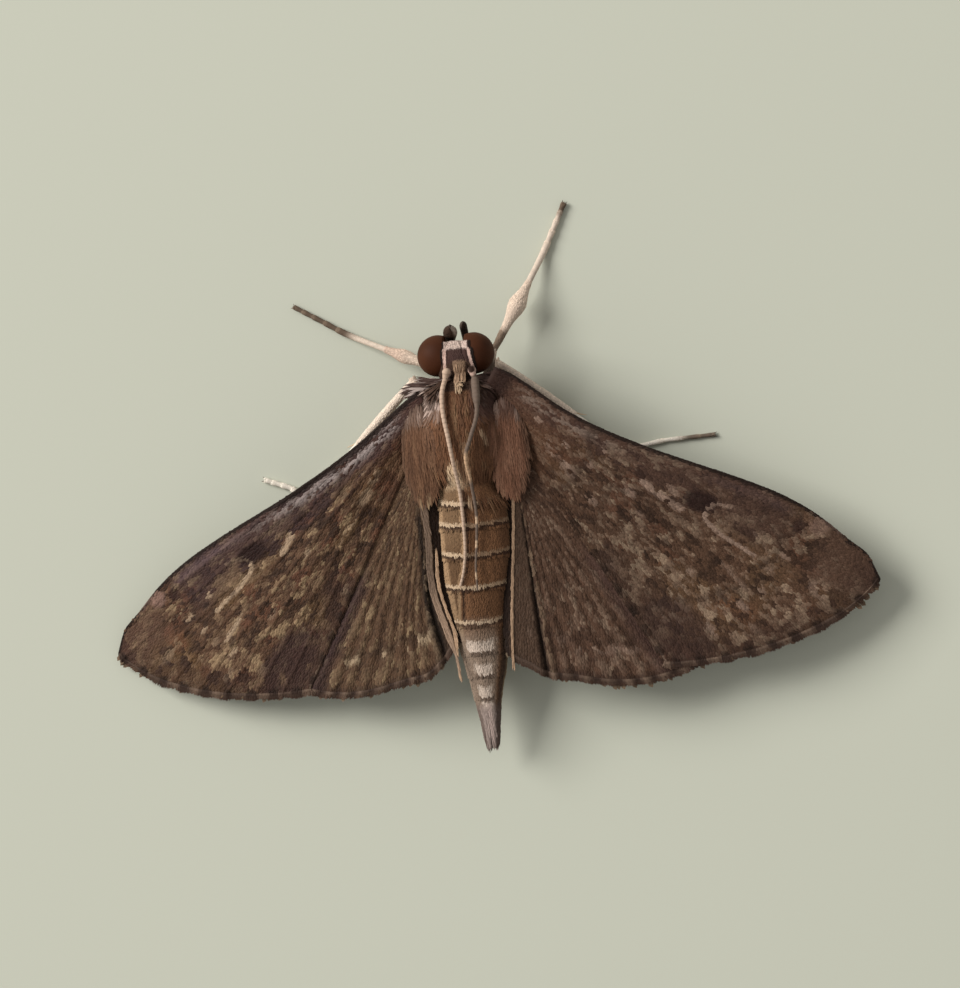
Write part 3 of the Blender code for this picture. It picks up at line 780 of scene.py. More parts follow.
def tucked(label, share):
    """Angle at which the film ends, tucked under the body beyond the pale line of hairs."""
    width = INNER_TUCK[label] * ease(1.2, 0.2, share) + 0.14
    return HIND_ANAL_ANGLE[label] + np.degrees(width / np.maximum(HIND_ANAL_LENGTH * share, 0.6))


def pleats(label, angle):
    """Height of the folds from -1 to 1 (a wave of the angle), and how flat the strip by the body is."""
    from_body = HIND_ANAL_ANGLE[label] - angle
    phase = 2 * math.pi * (from_body - PLEAT_FLAT[label] - 1.2) / PLEAT_ANGLE
    wave = np.cos(phase + 0.8 * np.sin(angle * 0.35))
    flat = ease(PLEAT_FLAT[label] + 0.6, PLEAT_FLAT[label] - 1.0, from_body)
    return wave * (1.0 - flat), flat


def hind_face(label, lift=HIND_LIFT):
    """Hind wing as a function of share from root to edge and angle, with pleats growing outwards.

    The first pleat off the body is the deepest: a groove 0.08 mm deep beside the flat strip."""
    def point(share, angle):
        edge = hind_reach(label, angle) - FRINGE
        radius = 0.10 + (edge - 0.10) * share
        turn = np.radians(angle)
        folds, _ = pleats(label, angle)
        from_body = HIND_ANAL_ANGLE[label] - angle
        groove = bell(from_body - PLEAT_FLAT[label], 0.8)
        relief = (0.0035 * radius * folds - 0.018 * radius * groove) * ease(0.05, 0.5, share)
        relief = relief - 0.5 * radius * np.radians(np.maximum(-from_body, 0.0))
        off_body = HIND_INNER_SHIFT[label] * ease(1.05, 0.1, share)
        off_body = off_body + HIND_INNER_BOW[label] * bell(share - 0.70, 0.24)
        inner = off_body * ease(HIND_ANAL_ANGLE[label] - 30.0, HIND_ANAL_ANGLE[label], angle)
        out = 0.06 + radius * np.cos(turn) + inner
        back = HIND_ROOT_BACK + radius * np.sin(turn)
        return wing_place(label, out, back, lift + relief)

    return point


print("hind wing reaches, mm:", hind_reach("left", np.array([40.0, 65.0, 90.0])).round(2))

# %% A film
def film(top, up):
    """A closed film from a grid of points: its copy FILM_THICK lower, and a wall round the rim."""
    rows, columns = top.shape[:2]
    count = rows * columns
    sheet = grid_quads(rows, columns)
    index = np.arange(count).reshape(rows, columns)
    rim = np.concatenate([index[0, :-1], index[:-1, -1], index[-1, :0:-1], index[:0:-1, 0]])
    after = np.roll(rim, -1)
    wall = np.column_stack([rim, rim + count, after + count, after])
    points = np.vstack([top.reshape(-1, 3), (top - FILM_THICK * up).reshape(-1, 3)])
    return points, outwards(points, [sheet, sheet[:, ::-1] + count, wall])


print("film, mm thick:", FILM_THICK)

# %% [markdown]
# ## Wing markings
#
# The pattern is a handful of soft shapes drawn in the wing's own measure: distance along the chord
# from the root, and distance behind the chord. They lie at the same places on both wings, and some of
# them are fainter on one side.
# On a mottled brown ground, whose flecks are drawn out along the veins, lie a purple-brown band along
# the front edge, two dark spots with pale streaks beside them, two wavy cross lines, rows of pale
# flecks, and a row of dark dots on the outer edge.

# %% Soft shapes
def blob(along, behind, centre, half, turn=0.0):
    """1 in the middle of a soft oval and 0 beyond it; turn is in degrees."""
    c, s = math.cos(math.radians(turn)), math.sin(math.radians(turn))
    x, y = along - centre[0], behind - centre[1]
    reach = ((x * c + y * s) / half[0]) ** 2 + ((y * c - x * s) / half[1]) ** 2
    return ease(1.3, 0.4, reach)


def stroke(along, behind, points, width):
    """1 on a line through points and 0 at a distance of width from it."""
    line = through(points, 8)
    away = np.hypot(along[..., None] - line[:, 0], behind[..., None] - line[:, 1]).min(axis=-1)
    return ease(width, width * 0.35, away)


def beyond(along, behind, points):
    """Signed distance along the chord from a cross line given as (along, behind) points."""
    line = np.array(sorted(points, key=lambda p: p[1]))
    return along - np.interp(behind, line[:, 1], line[:, 0])


print("strength of a blob at its middle:", blob(np.zeros(1), np.zeros(1), (0, 0), (1, 1))[0])

# %% Marks of the fore wing
INNER_LINE = [(2.6, -0.3), (2.9, 1.0), (2.6, 1.7), (2.3, 2.4)]
OUTER_LINE = [(8.35, -0.5), (8.2, 0.3), (8.1, 1.0), (7.8, 1.9),
              (7.0, 2.5), (6.6, 2.9), (5.8, 3.4), (5.4, 4.0)]
PALE_FLECKS = [                     # along, behind, half length, and strength on the left and the right
    (8.40, 0.58, 0.17, 0.9, 0.7), (8.28, 1.10, 0.16, 0.9, 0.3), (8.25, 1.62, 0.20, 0.3, 0.8),
    (8.05, 2.20, 0.22, 0.9, 0.8), (9.57, 0.98, 0.34, 0.5, 0.5), (5.65, 4.36, 0.22, 0.5, 0.7),
    (5.02, 4.81, 0.20, 0.5, 0.7), (4.57, 2.87, 0.20, 0.8, 0.4), (6.50, 2.06, 0.20, 0.5, 0.6),
    (7.66, 3.10, 0.22, 0.4, 0.8), (4.67, 1.35, 0.16, 0.8, 0.4), (7.54, 0.44, 0.14, 0.8, 0.3),
    (8.54, 2.58, 0.22, 0.6, 0.4), (4.10, 0.95, 0.26, 0.1, 0.8), (5.10, 0.42, 0.20, 0.0, 0.6),
    (2.50, 1.20, 0.30, 0.5, 0.5), (1.95, 0.95, 0.26, 0.5, 0.5), (3.40, 1.60, 0.20, 0.3, 0.6),
    (1.25, 0.42, 0.14, 0.3, 0.9), (1.74, 0.78, 0.12, 0.2, 0.7), (2.14, 0.66, 0.13, 0.3, 0.9),
    (2.43, 1.12, 0.16, 0.3, 0.9), (2.90, 0.81, 0.15, 0.2, 0.7), (3.12, 0.37, 0.14, 0.2, 0.8),
]
DARK_FLECKS = [
    (8.16, 1.32, 0.15, 0.6, 0.9), (7.55, 2.25, 0.17, 0.7, 0.8), (8.75, 0.30, 0.16, 0.9, 0.3),
    (7.81, 0.62, 0.14, 0.8, 0.3), (4.83, 3.40, 0.26, 0.8, 0.4), (3.96, 1.00, 0.18, 0.4, 0.6),
    (7.88, 1.98, 0.14, 0.8, 0.4), (6.80, 1.45, 0.22, 0.4, 0.7), (2.20, 1.50, 0.20, 0.6, 0.6),
    (5.60, 1.70, 0.18, 0.5, 0.6), (3.30, 0.95, 0.18, 0.5, 0.5),
]
CRESCENT = [(6.08, 0.56), (6.22, 0.70), (6.67, 0.84), (7.21, 0.89), (7.68, 0.93)]
CRESCENT_HOOK = [(6.62, 0.10), (6.25, 0.22), (6.08, 0.42)]
SECOND_STREAK = [(7.10, 1.48), (7.50, 1.62), (7.95, 1.78)]
CELL_STREAK = {
    "left": [(4.70, 0.66), (4.95, 0.80), (5.20, 0.88)],
    "right": [(4.35, 0.58), (4.8, 0.66), (5.47, 0.74)],
}
DOT_PITCH = 0.62                    # mm between the dark dots of the outer edge
WING_TONES = {                      # ground, dark patches, light patches, brightest patches, warm wash
    "left": ("#553f2f", "#36271d", "#705b46", "#8f7a5e", "#5f4a2e"),
    "right": ("#513b2e", "#35251c", "#6d584a", "#84705f", "#59432f"),
}
BAND_TONE = {"left": "#3c2c2e", "right": "#4a3630"}
PALE_TONE = {"left": "#a8937a", "right": "#957d70"}
print("flecks:", len(PALE_FLECKS), "pale and", len(DARK_FLECKS), "dark")

# %% Run along the outer edge
def edge_run(label, along, behind):
    """Distance inside the film's outer edge, and the run along that edge, both in mm."""
    length = film_length(label)
    steps = length - (length - 4.0) * (1.0 - np.linspace(0.0, 1.0, 120)) ** 2
    edge = np.column_stack([steps, fore_edges(label, steps, FRINGE)[1]])
    run = run_along(edge)
    nearest, where = np.full(along.shape, 9.0), np.zeros(along.shape)
    close = along > 4.2
    away = np.hypot(along[close][:, None] - edge[:, 0], behind[close][:, None] - edge[:, 1])
    nearest[close], where[close] = away.min(axis=1), run[away.argmin(axis=1)]
    return nearest, where


print("a dark dot every", DOT_PITCH, "mm")

# %% Parts of the fore wing's pattern
def front_band(colours, label, along, behind, from_front, patch, small, fine):
    """Purple-brown band, its very edge black, with a broken grey streak behind that edge, partly painted
    sheen.
    """
    deep = of_side(label, 0.0, -0.18)
    band = ease(0.95 + deep, 0.35 + deep, behind + 0.30 * (patch - 0.5)) * ease(8.6, 7.6, along)
    paint(colours, BAND_TONE[label], of_side(label, 0.62, 0.50) * band)
    # The grey streak is partly painted sheen: longer, paler and stronger on the left, the side the lamp
    # lights.
    fades = of_side(label, (6.4, 3.2), (4.0, 2.2))
    streak = bell(from_front - 0.26, 0.13) * ease(0.2, 0.8, along) * ease(*fades, along)
    amount = of_side(label, 0.9, 0.55)
    broken = ease(0.32, 0.60, small * 0.6 + fine * 0.4)
    paint(colours, of_side(label, "#9a908c", "#8f7e74"), amount * streak * broken)
    paint(colours, "#3a2c2c", 0.7 * amount * streak * ease(0.42, 0.20, small * 0.5 + patch * 0.5))
    # Painted sheen: a fainter grey streak further out, mainly on the left.
    far = bell(from_front - 0.24, 0.12) * ease(5.2, 6.2, along) * ease(8.4, 7.8, along)
    paint(colours, "#6c5a5c", of_side(label, 0.5, 0.15) * far)
    wider = of_side(label, 0.07, 0.0) * ease(5.5, 3.5, along)
    paint(colours, "#1c1310", 0.85 * ease(0.10, 0.03, from_front - wider) * ease(10.2, 9.0, along))
    if label == "right":
        paint(colours, "#2a1a16", 0.85 * ease(0.45, 0.05, along) * ease(0.60, 0.35, behind))


def cross_lines(colours, along, behind, patch, small, light):
    """Two wavy dark lines across the wing, the outer one with a pale line beyond it."""
    wave = 0.09 * np.sin(behind * 7.0) + 0.14 * (small - 0.5)
    inner = beyond(along, behind, INNER_LINE) + wave
    paint(colours, "#2d1f18", 0.5 * bell(inner, 0.12))
    outer = beyond(along, behind, OUTER_LINE) + wave
    paint(colours, "#2b1e18", 0.55 * bell(outer, 0.10) * ease(0.25, 0.5, patch))
    paint(colours, light, 0.5 * bell(outer - 0.22, 0.12) * ease(0.4, 0.6, small))


def cell_marks(colours, label, along, behind, small, mottle, light):
    """Dark spots of the middle cell, the pale marks by them, and the flecks of the tables."""
    cream = PALE_TONE[label]
    paint(colours, "#2e1f1a", 0.75 * blob(along, behind, (4.16, 0.44), (0.20, 0.12), 15))
    paint(colours, cream, 0.85 * stroke(along, behind, CELL_STREAK[label], 0.13) * ease(0.1, 0.3, small))
    paint(colours, light, 0.45 * blob(along, behind, (7.0, 0.48), (0.75, 0.36), 8) * ease(0.3, 0.6, mottle))
    paint(colours, "#261613", 0.92 * blob(along, behind, (5.85, 0.34), (0.50, 0.30), -12))
    paint(colours, cream, 0.95 * stroke(along, behind, CRESCENT, 0.085) * ease(0.0, 0.15, small))
    hook = of_side(label, 0.2, 0.55)
    paint(colours, cream, hook * stroke(along, behind, CRESCENT_HOOK, 0.07))
    second = of_side(label, 0.9, 0.3)
    paint(colours, cream, second * stroke(along, behind, SECOND_STREAK, 0.09) * ease(0.1, 0.35, small))
    paint(colours, "#34221d", 0.8 * blob(along, behind, (8.36, -0.26), (0.20, 0.20), 40))
    paint(colours, "#83695d", of_side(label, 0.9, 0.6) * blob(along, behind, (8.82, -0.48), (0.26, 0.26), 30))
    side = of_side(label, 3, 4)
    for fleck in PALE_FLECKS:
        mark = blob(along, behind, fleck[:2], (fleck[2], fleck[2] * 0.5), 18) * ease(0.1, 0.4, small)
        paint(colours, cream, 0.8 * fleck[side] * mark)
    for fleck in DARK_FLECKS:
        mark = blob(along, behind, fleck[:2], (fleck[2], fleck[2] * 0.5), 18)
        paint(colours, "#261913", 0.75 * fleck[side] * mark)
    dusk = of_side(label, 0.85, 0.62)
    paint(colours, "#3c2b28", dusk * blob(along, behind, (7.0, 3.55), (1.25, 0.72), 20))


def outer_band(colours, label, along, behind_real, patch, light):
    """Dark outer band, pale squares between the veins, and the dark dots on the edge."""
    inside, run = edge_run(label, along, behind_real)
    paint(colours, "#3d2b24", 0.55 * ease(0.9, 0.2, inside + 0.5 * (patch - 0.5)))
    beat = 0.5 + 0.5 * np.cos(2 * math.pi * run / DOT_PITCH)
    square = bell(inside - 0.36, 0.16) * ease(0.45, 0.1, beat)
    paint(colours, light, 0.6 * square * ease(0.3, 0.6, patch))
    paint(colours, "#20150f", 0.8 * ease(0.16, 0.04, inside) * (0.12 + 0.88 * ease(0.5, 0.85, beat)))


print("parts of the fore wing's pattern: band, lines, cell marks, outer band")

# %% Colours of the fore wing
def fore_colours(label, along, behind_real):
    """Linear colours of the fore wing at distances along the chord and behind it."""
    front, _ = fore_edges(label, along)
    behind = behind_real / FORE_SPREAD[label]
    from_front = behind_real - front
    seed = of_side(label, 11, 23)
    radius, angle = fore_fan(along + 3.0, behind)       # a wider fan, so that the patches keep their size
    broad = noise(radius * 0.9, angle * 14.0, seed)
    patch, ahead = cells(radius * 2.1, angle * 40.0, seed + 1)
    small, _ = cells(radius * 5.2, angle * 96.0, seed + 2)
    fine = noise(radius * 9.0, angle * 190.0, seed + 3)
    calm = ease(8.7, 9.4, along) * ease(0.1, -0.3, behind - 0.9)       # the smooth tip
    mottle = 0.5 + (0.44 * patch + 0.36 * small + 0.20 * fine - 0.5) * (1.0 - 0.35 * calm)
    ground, dark, light, bright, warm = WING_TONES[label]
    colours = plain(ground, *along.shape)
    paint(colours, warm, 0.5 * ease(0.55, 0.8, broad))
    rusty = noise(radius * 1.6, angle * 26.0, seed + 5)
    paint(colours, "#6e4433", of_side(label, 0.32, 0.18) * ease(0.60, 0.78, rusty))
    paint(colours, dark, 0.90 * ease(0.42, 0.24, mottle))
    paint(colours, light, 0.90 * ease(0.51, 0.66, mottle))
    paint(colours, bright, 0.85 * ease(0.68, 0.78, mottle) * ease(0.8, 3.5, along))
    paler = 0.22 * ease(5.0, 7.5, along) * ease(0.2, 0.9, behind) * of_side(label, 0.4, 1.6)
    # Painted shade of overlapping scales: each patch darker at its root side and lighter at its tip side;
    # paler lightens the outer part.
    colours = colours * (1.0 + 0.26 * ahead * (1.0 - calm) + paler)[..., None]
    # Red-brown wash near the root, and the smooth tip
    paint(colours, "#5f3f2c", 0.5 * ease(3.6, 0.8, along))
    paint(colours, "#5c463c", 0.35 * calm)
    front_band(colours, label, along, behind, from_front, patch, small, fine)
    cross_lines(colours, along, behind, patch, small, light)
    cell_marks(colours, label, along, behind, small, mottle, light)
    outer_band(colours, label, along, behind_real, patch, light)
    colours = colours * np.array(of_side(label, (0.94, 0.90, 0.91), (1.0, 1.0, 0.97)))
    if label == "right":
        colours = colours * (1.0 - 0.10 * ease(1.8, 2.6, along) * ease(0.4, 0.9, behind))[..., None]
    return colours


root_colour = fore_colours("left", np.array([1.0]), np.array([0.5]))[0]
print("left fore wing near its root:", root_colour.round(3))

# %% Colours of the hind wing
def past_fore(label, point):
    """Distance along the fore wing's chord of points of the hind wing, and behind its hind edge."""
    hinge, e_out, e_back, _ = wing_axes(label)
    sweep, (root_out, root_back) = math.radians(WING_SWEEP[label]), FORE_ROOT[label]
    out, back = (point - hinge) @ e_out - root_out, (point - hinge) @ e_back - root_back
    along = out * math.cos(sweep) + back * math.sin(sweep)
    behind = back * math.cos(sweep) - out * math.sin(sweep)
    return along, behind - fore_edges(label, along, FRINGE)[1]


def hind_colours(label, share, angle):
    """Linear colours of the hind wing at share from root to edge and angle."""
    seed = of_side(label, 37, 53)
    edge = hind_reach(label, angle) - FRINGE
    radius = 0.10 + (edge - 0.10) * share
    inside = edge - radius
    turned = np.radians(angle)
    patch, ahead = cells(radius * 2.4, turned * 30.0, seed)
    small, _ = cells(radius * 5.5, turned * 66.0, seed + 1)
    fine = noise(radius * 8.0, turned * 120.0, seed + 2)
    mottle = 0.42 * patch + 0.36 * small + 0.22 * fine
    folds, flat = pleats(label, angle)
    ground, dark, light, bright, _ = WING_TONES[label]
    colours = plain(ground, *radius.shape)
    # The mottle is shifted darker in the troughs of the pleats and lighter on their crests: painted shade and
    # light of the folds.
    paint(colours, dark, 0.65 * ease(0.42, 0.22, mottle + 0.07 * folds))
    paint(colours, light, 0.65 * ease(0.52, 0.72, mottle + 0.07 * folds))
    paint(colours, bright, 0.5 * ease(0.74, 0.84, mottle))
    # Painted shade of overlapping scales: each patch darker at its root side and lighter at its tip side.
    colours = colours * (1.0 + 0.16 * ahead)[..., None]
    line = inside - 0.88 + 0.07 * np.sin(turned * 60.0)
    amount = of_side(label, 0.75, 0.35)
    paint(colours, PALE_TONE[label], amount * bell(line, 0.11) * ease(0.45, 0.7, patch))
    paint(colours, dark, 0.5 * bell(line - 0.20, 0.10))
    squares = bell(inside - 0.42, 0.18) * ease(-0.2, 0.6, folds)
    paint(colours, light, 0.55 * squares)
    paint(colours, "#33241d", 0.6 * ease(0.22, 0.05, inside))
    # Painted shadow of the abdomen: the flat strip beside the body is darker.
    paint(colours, "#4b3a2e", 0.7 * flat)
    along, gap = past_fore(label, hind_face(label)(share, angle))
    paint(colours, BAND_TONE[label], 0.75 * ease(0.55, 0.10, gap) * ease(3.4, 4.4, along))
    from_body = HIND_ANAL_ANGLE[label] - angle
    groove = of_side(label, 1.6, 1.0)
    # Painted shadow: a dark line in the groove beside the flat strip, where the raised pleats shade it.
    paint(colours, "#1f1510", 0.92 * bell(from_body - PLEAT_FLAT[label], groove) * ease(0.1, 0.3, share))
    if label == "left":
        # Painted shadow: a dark streak on the left wing just outside its pale hairs.
        streak = bell(radius * np.radians(from_body) - 0.31, 0.11) * ease(0.15, 0.3, share)
        paint(colours, "#1a120d", 0.93 * streak * ease(1.0, 0.9, share))
    # Painted shade under the body, where the film is tucked beneath the abdomen.
    paint(colours, "#221610", 0.95 * ease(0.0, -1.2, from_body))
    # Painted highlight on the pleat's crest next to the groove.
    paint(colours, "#7d6955", 0.5 * bell(from_body - PLEAT_FLAT[label] - 1.5, 0.7) * ease(0.3, 0.6, small))
    return colours


print("left hind wing:", hind_colours("left", np.array([0.5]), np.array([70.0]))[0].round(3))

# %% Films of the four wings
FORE_ROWS, FORE_COLUMNS, HIND_ROWS, HIND_COLUMNS = 110, 72, 50, 190


def film_piece(name, face, first, second, colours, up):
    """A film from its face over a grid of places, a little darker below."""
    points, faces = film(face(first, second), up)
    colours = colours.reshape(-1, 3)
    return add_piece(name, points, faces, membrane_finish, np.vstack([colours, colours * 0.9]))


for label in SIDES:
    up = wing_axes(label)[3]
    last = film_length(label)
    along = last - 0.01 - (last + 0.34) * (1.0 - np.linspace(0.0, 1.0, FORE_ROWS)[:, None]) ** 1.25
    front, hind = fore_edges(label, along, FRINGE)
    behind = front + (hind - front) * np.linspace(0.0, 1.0, FORE_COLUMNS)
    along = np.broadcast_to(along, behind.shape)
    colours = fore_colours(label, along, behind)
    made = film_piece(f"forewing_film_{label}", fore_face(label), along, behind, colours, up)
    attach(made, "root")
    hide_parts(f"forewing_{label}")
    shares, steps = np.linspace(0.0, 1.0, HIND_ROWS), np.linspace(0.0, 1.0, HIND_COLUMNS)
    share, across = np.meshgrid(shares, steps, indexing="ij")
    angle = HIND_COSTA_ANGLE + (tucked(label, share) - HIND_COSTA_ANGLE) * across
    colours = hind_colours(label, share, angle)
    made = film_piece(f"hindwing_film_{label}", hind_face(label), share, angle, colours, up)
    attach(made, "root")
    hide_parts(f"hindwing_{label}")
print("films:", [name for name in pieces if "film" in name])

# %% [markdown]
# ## Coats of the wings
#
# Scales lie like roof tiles, each row over the roots of the next, and point from the root of the wing
# to its edge. Places are scattered evenly over the flat plane of the wing and then lifted onto the
# film, which keeps their density even where the wing narrows. The edge carries a fringe of longer,
# narrower scales that stand out past the film, in three layers.

# %% Places on the wings
def fore_map(label, along, behind):
    """Place on the unwrap of the fore wing: its own flat plane, along the chord and behind it."""
    u = (along + 0.4) / (FORE_LENGTH[label] + 0.4)
    v = (behind + 1.0) / (FORE_CORNER[1] * FORE_SPREAD[label] + 1.0)
    return on_map(np.clip(u, 0, 1), np.clip(v, 0, 1))


def hind_map(label, share, angle):
    """Place on the unwrap of the hind wing: share from root to edge across, angle upwards."""
    turned = (angle - HIND_COSTA_ANGLE) / (tucked(label, share) - HIND_COSTA_ANGLE)
    return on_map(np.clip(share, 0, 1), np.clip(turned, 0, 1))


EDGE_CLEAR = 0.02                   # mm that scales keep behind the front edge


def fore_places(label, steps, rng):
    """Evenly scattered (along, behind) places on the fore film."""
    along, behind = scattered((-0.3, film_length(label)), (-1.0, FORE_CORNER[1]), *steps, rng)
    front, hind = fore_edges(label, along, FRINGE)
    keep = (behind > front + EDGE_CLEAR) & (behind < hind)
    return along[keep], behind[keep]


def hind_places(label, steps, rng):
    """Evenly scattered (share, angle) places on the hind film."""
    out, back = scattered((-0.6, 7.2), (0.0, 8.0), *steps, rng)
    radius, angle = np.hypot(out, back), np.degrees(np.arctan2(back, out))
    share = (radius - 0.10) / (hind_reach(label, angle) - FRINGE - 0.10)
    keep = (share > 0.02) & (share < 1.0) & (angle > HIND_COSTA_ANGLE) & (angle < tucked(label, share))
    return share[keep], angle[keep]


print("scales keep", EDGE_CLEAR, "mm behind the front edge")

# %% Lie of the scales of the fore wing
TIP_SHOWS = 0.10                    # mm from a scale's root to the middle of its uncovered part


def facing(normal, up, sign):
    """Normals turned to the upper (1) or lower (-1) face."""
    return normal * np.where(normal @ up * sign > 0, 1.0, -1.0)[:, None]


def fore_frame(label, along, behind):
    """Points of the fore film, the lie of its scales and upward normals.

    The scales lie along the veins, but close to the front edge they turn to follow that edge. Also
    returned: the (along, behind) of a place 0.1 mm further on, where the tip of the scale shows."""
    face, step = fore_face(label), 2e-3
    run = unit(face(along + step, behind) - face(along - step, behind))
    aside = unit(face(along, behind + step) - face(along, behind - step))
    _, angle = fore_fan(along, behind)
    front, _ = fore_edges(label, along, FRINGE)
    ahead, astern = (fore_edges(label, along + way * step, FRINGE)[0] for way in (1, -1))
    slope = (ahead - astern) / (2 * step)
    by_edge = ease(0.40, 0.08, behind - front)
    turn = angle * (1.0 - by_edge) + np.arctan(slope) * by_edge
    lie = unit(run * np.cos(turn)[:, None] + aside * np.sin(turn)[:, None])
    tip = along + TIP_SHOWS * np.cos(turn), behind + TIP_SHOWS * np.sin(turn)
    return face(along, behind), lie, facing(unit(np.cross(run, aside)), wing_axes(label)[3], 1), tip


print("a scale shows its colour", TIP_SHOWS, "mm ahead of its root")

# %% Places along a line
def picked(keep, *arrays):
    """The same places picked out of several arrays."""
    return [array[keep] for array in arrays]


def evenly(line, step):
    """Fractional indices that lie evenly spaced along a line of points."""
    lengths = run_along(line)
    return np.interp(np.arange(step / 2, lengths[-1], step), lengths, np.arange(len(line)))


def jittered(line, step, rng):
    """Fractional indices evenly spaced along a line of points, but for a small chance shift."""
    index = evenly(line, step)
    return np.clip(index + rng.uniform(-0.4, 0.4, len(index)), 0, len(line) - 1.1)


def at_index(line, index):
    """Points of a line at fractional indices."""
    return np.column_stack([np.interp(index, np.arange(len(line)), line[:, k]) for k in range(line.shape[1])])


print("even places on a 1 mm rod:", len(evenly(rod, 0.1)))

# %% Fringe of the fore wing
FRINGE_LAYERS = ((1.0, 0.040, 0.019), (0.75, 0.045, 0.022), (0.45, 0.055, 0.030))     # reach, width, spacing
HAIR_PAST = {"left": 0.12, "right": 0.0}       # share by which the hairs of the inner edge outrun the film
FRINGE_COLOURS = ("#46342b", "#493930", "#55443a")


def shortened(points, share):
    """Scales drawn back along their run to a share of their length, keeping their width."""
    run = points[:, 3] - points[:, 0]
    return points - run[:, None] * VANE[:, 1][None, :, None] * (1.0 - share)[:, None, None]


def fore_fringe(coat, label, up, rng):
    """Three layers of long scales round the outer and hind edges of the fore wing."""
    face = fore_face(label)
    last = film_length(label)
    run = last - (last - 0.5) * (1.0 - np.linspace(0.0, 1.0, 600)) ** 2
    hind = fore_edges(label, run, FRINGE)[1]
    line = face(run, hind)
    tangent_line = np.gradient(line, axis=0)
    for layer, (reach, width, step) in enumerate(FRINGE_LAYERS):
        index = jittered(line, step, rng)
        along, behind = (np.interp(index, np.arange(600), part) for part in (run, hind))
        root, tangent = at_index(line, index), at_index(tangent_line, index)
        outward = unit(np.cross(tangent, up)) * SIDES[label]
        radial = fore_frame(label, along, behind)[1]
        outward = outward * np.sign(dot(outward, radial))[:, None]
        lean = unit(outward + 0.5 * radial)
        _, edge = edge_run(label, along, behind)
        beat = 0.5 + 0.5 * np.cos(2 * math.pi * edge / DOT_PITCH)
        on_outer = ease(5.8, 6.9, along)
        uneven = (0.84 + 0.16 * beat) * (0.85 + 0.3 * noise(edge * 2.6, edge * 0.0, 92))
        length = (0.06 + (FRINGE - 0.04) * on_outer) * reach * uneven
        length = length * (0.35 + 0.65 * ease(last, last - 0.5, along))
        colours = plain(FRINGE_COLOURS[layer], len(along))
        worn = noise(edge * 4.0, edge * 0.0, 91)
        paint(colours, "#8a7463", (0.30, 0.30, 0.4)[layer] * ease(0.6, 0.1, beat) * ease(0.4, 0.6, worn))
        paint(colours, "#2a1c17", (0.45, 0.55, 0.8)[layer] * ease(0.45, 0.9, beat) * on_outer)
        inner_edge = fore_colours(label, along, behind - 0.06)
        colours = inner_edge + (colours - inner_edge) * on_outer[:, None]
        coat.add(root - outward * 0.02 + up * 0.010 * layer, unit(lean - up * (lean @ up)[:, None]),
                 np.broadcast_to(up, root.shape), (1.0, width), colours, fore_map(label, along, behind),
                 rng, lift=0.0, curl=0.0, loose=0.05, ragged=0.06)
        coat.points[-1] = shortened(coat.points[-1], length)


print("fringe layers:", len(FRINGE_LAYERS))

# %% Fringe of the hind wing and hairs of its inner edge
def hind_fringe(coat, label, up, rng):
    """Three layers of long scales on the outer edge of the hind wing, and pale hairs beside the body."""
    face, last = hind_face(label), HIND_ANAL_ANGLE[label]
    angles = np.linspace(HIND_COSTA_ANGLE, last, 600)
    line = face(np.ones(600), angles)
    for layer, (reach, width, step) in enumerate(FRINGE_LAYERS):
        index = jittered(line, step, rng)
        angle = np.interp(index, np.arange(600), angles)
        root, along, normal = surface_frame(face, np.full(len(angle), 0.995), angle)
        normal = facing(normal, up, 1)
        folds, _ = pleats(label, angle)
        colours = plain(FRINGE_COLOURS[layer], len(angle))
        worn = noise(angle * 0.35, angle * 0.0, 93)
        paint(colours, "#8a7463", (0.30, 0.30, 0.4)[layer] * ease(0.0, 0.9, folds) * ease(0.4, 0.6, worn))
        paint(colours, "#2a1c17", (0.35, 0.45, 0.7)[layer] * ease(-0.2, -0.9, folds))
        coat.add(root + up * 0.010 * layer, along, normal, (FRINGE * reach * 1.05, width), colours,
                 hind_map(label, np.ones(len(angle)), angle), rng,
                 lift=0.02, curl=0.04, loose=0.05, ragged=0.08)
    inwards = np.array([-SIDES[label], 0.0, 0.0])
    strands = [(0.035, 0.018, 0.03, 0.0), (0.035, 0.024, 0.09, 0.0), (0.030, 0.020, 0.06, 0.0)]
    if label == "left":
        strands = [(0.030, 0.018, 0.02, 0.10), (0.030, 0.020, 0.02, 0.13), (0.035, 0.020, 0.02, -0.01),
                   (0.035, 0.020, 0.03, -0.05), (0.035, 0.022, 0.03, -0.09), (0.035, 0.022, 0.03, -0.13)]
    for width, step, lean, off in strands:
        share = np.arange(0.48 if off > 0.0 else 0.10, 1.02 + HAIR_PAST[label], step / 5.0)
        share = share + rng.uniform(-0.003, 0.003, len(share))
        root, along, normal = surface_frame(face, share, np.full(len(share), last - 0.1))
        normal = facing(normal, up, 1)
        colours = plain("#b5977c" if off > 0.0 else "#a88b72", len(share))
        if off < 0.0:                       # the outer hair is greyer, and dusky near the root of the wing
            paint(colours, "#988170", 0.7)
            paint(colours, "#6a584b", 0.9 * ease(0.85, 0.55, share))
        root = root + inwards * off * ease(1.05, 0.90, share)[:, None]
        coat.add(root + normal * 0.02, unit(along + lean * inwards), normal, (0.34, width), colours,
                 hind_map(label, share, np.full(len(share), last)), rng, lift=0.08, curl=0.04, loose=0.04)


print("hairs of the inner edge outrun the film by", HAIR_PAST)

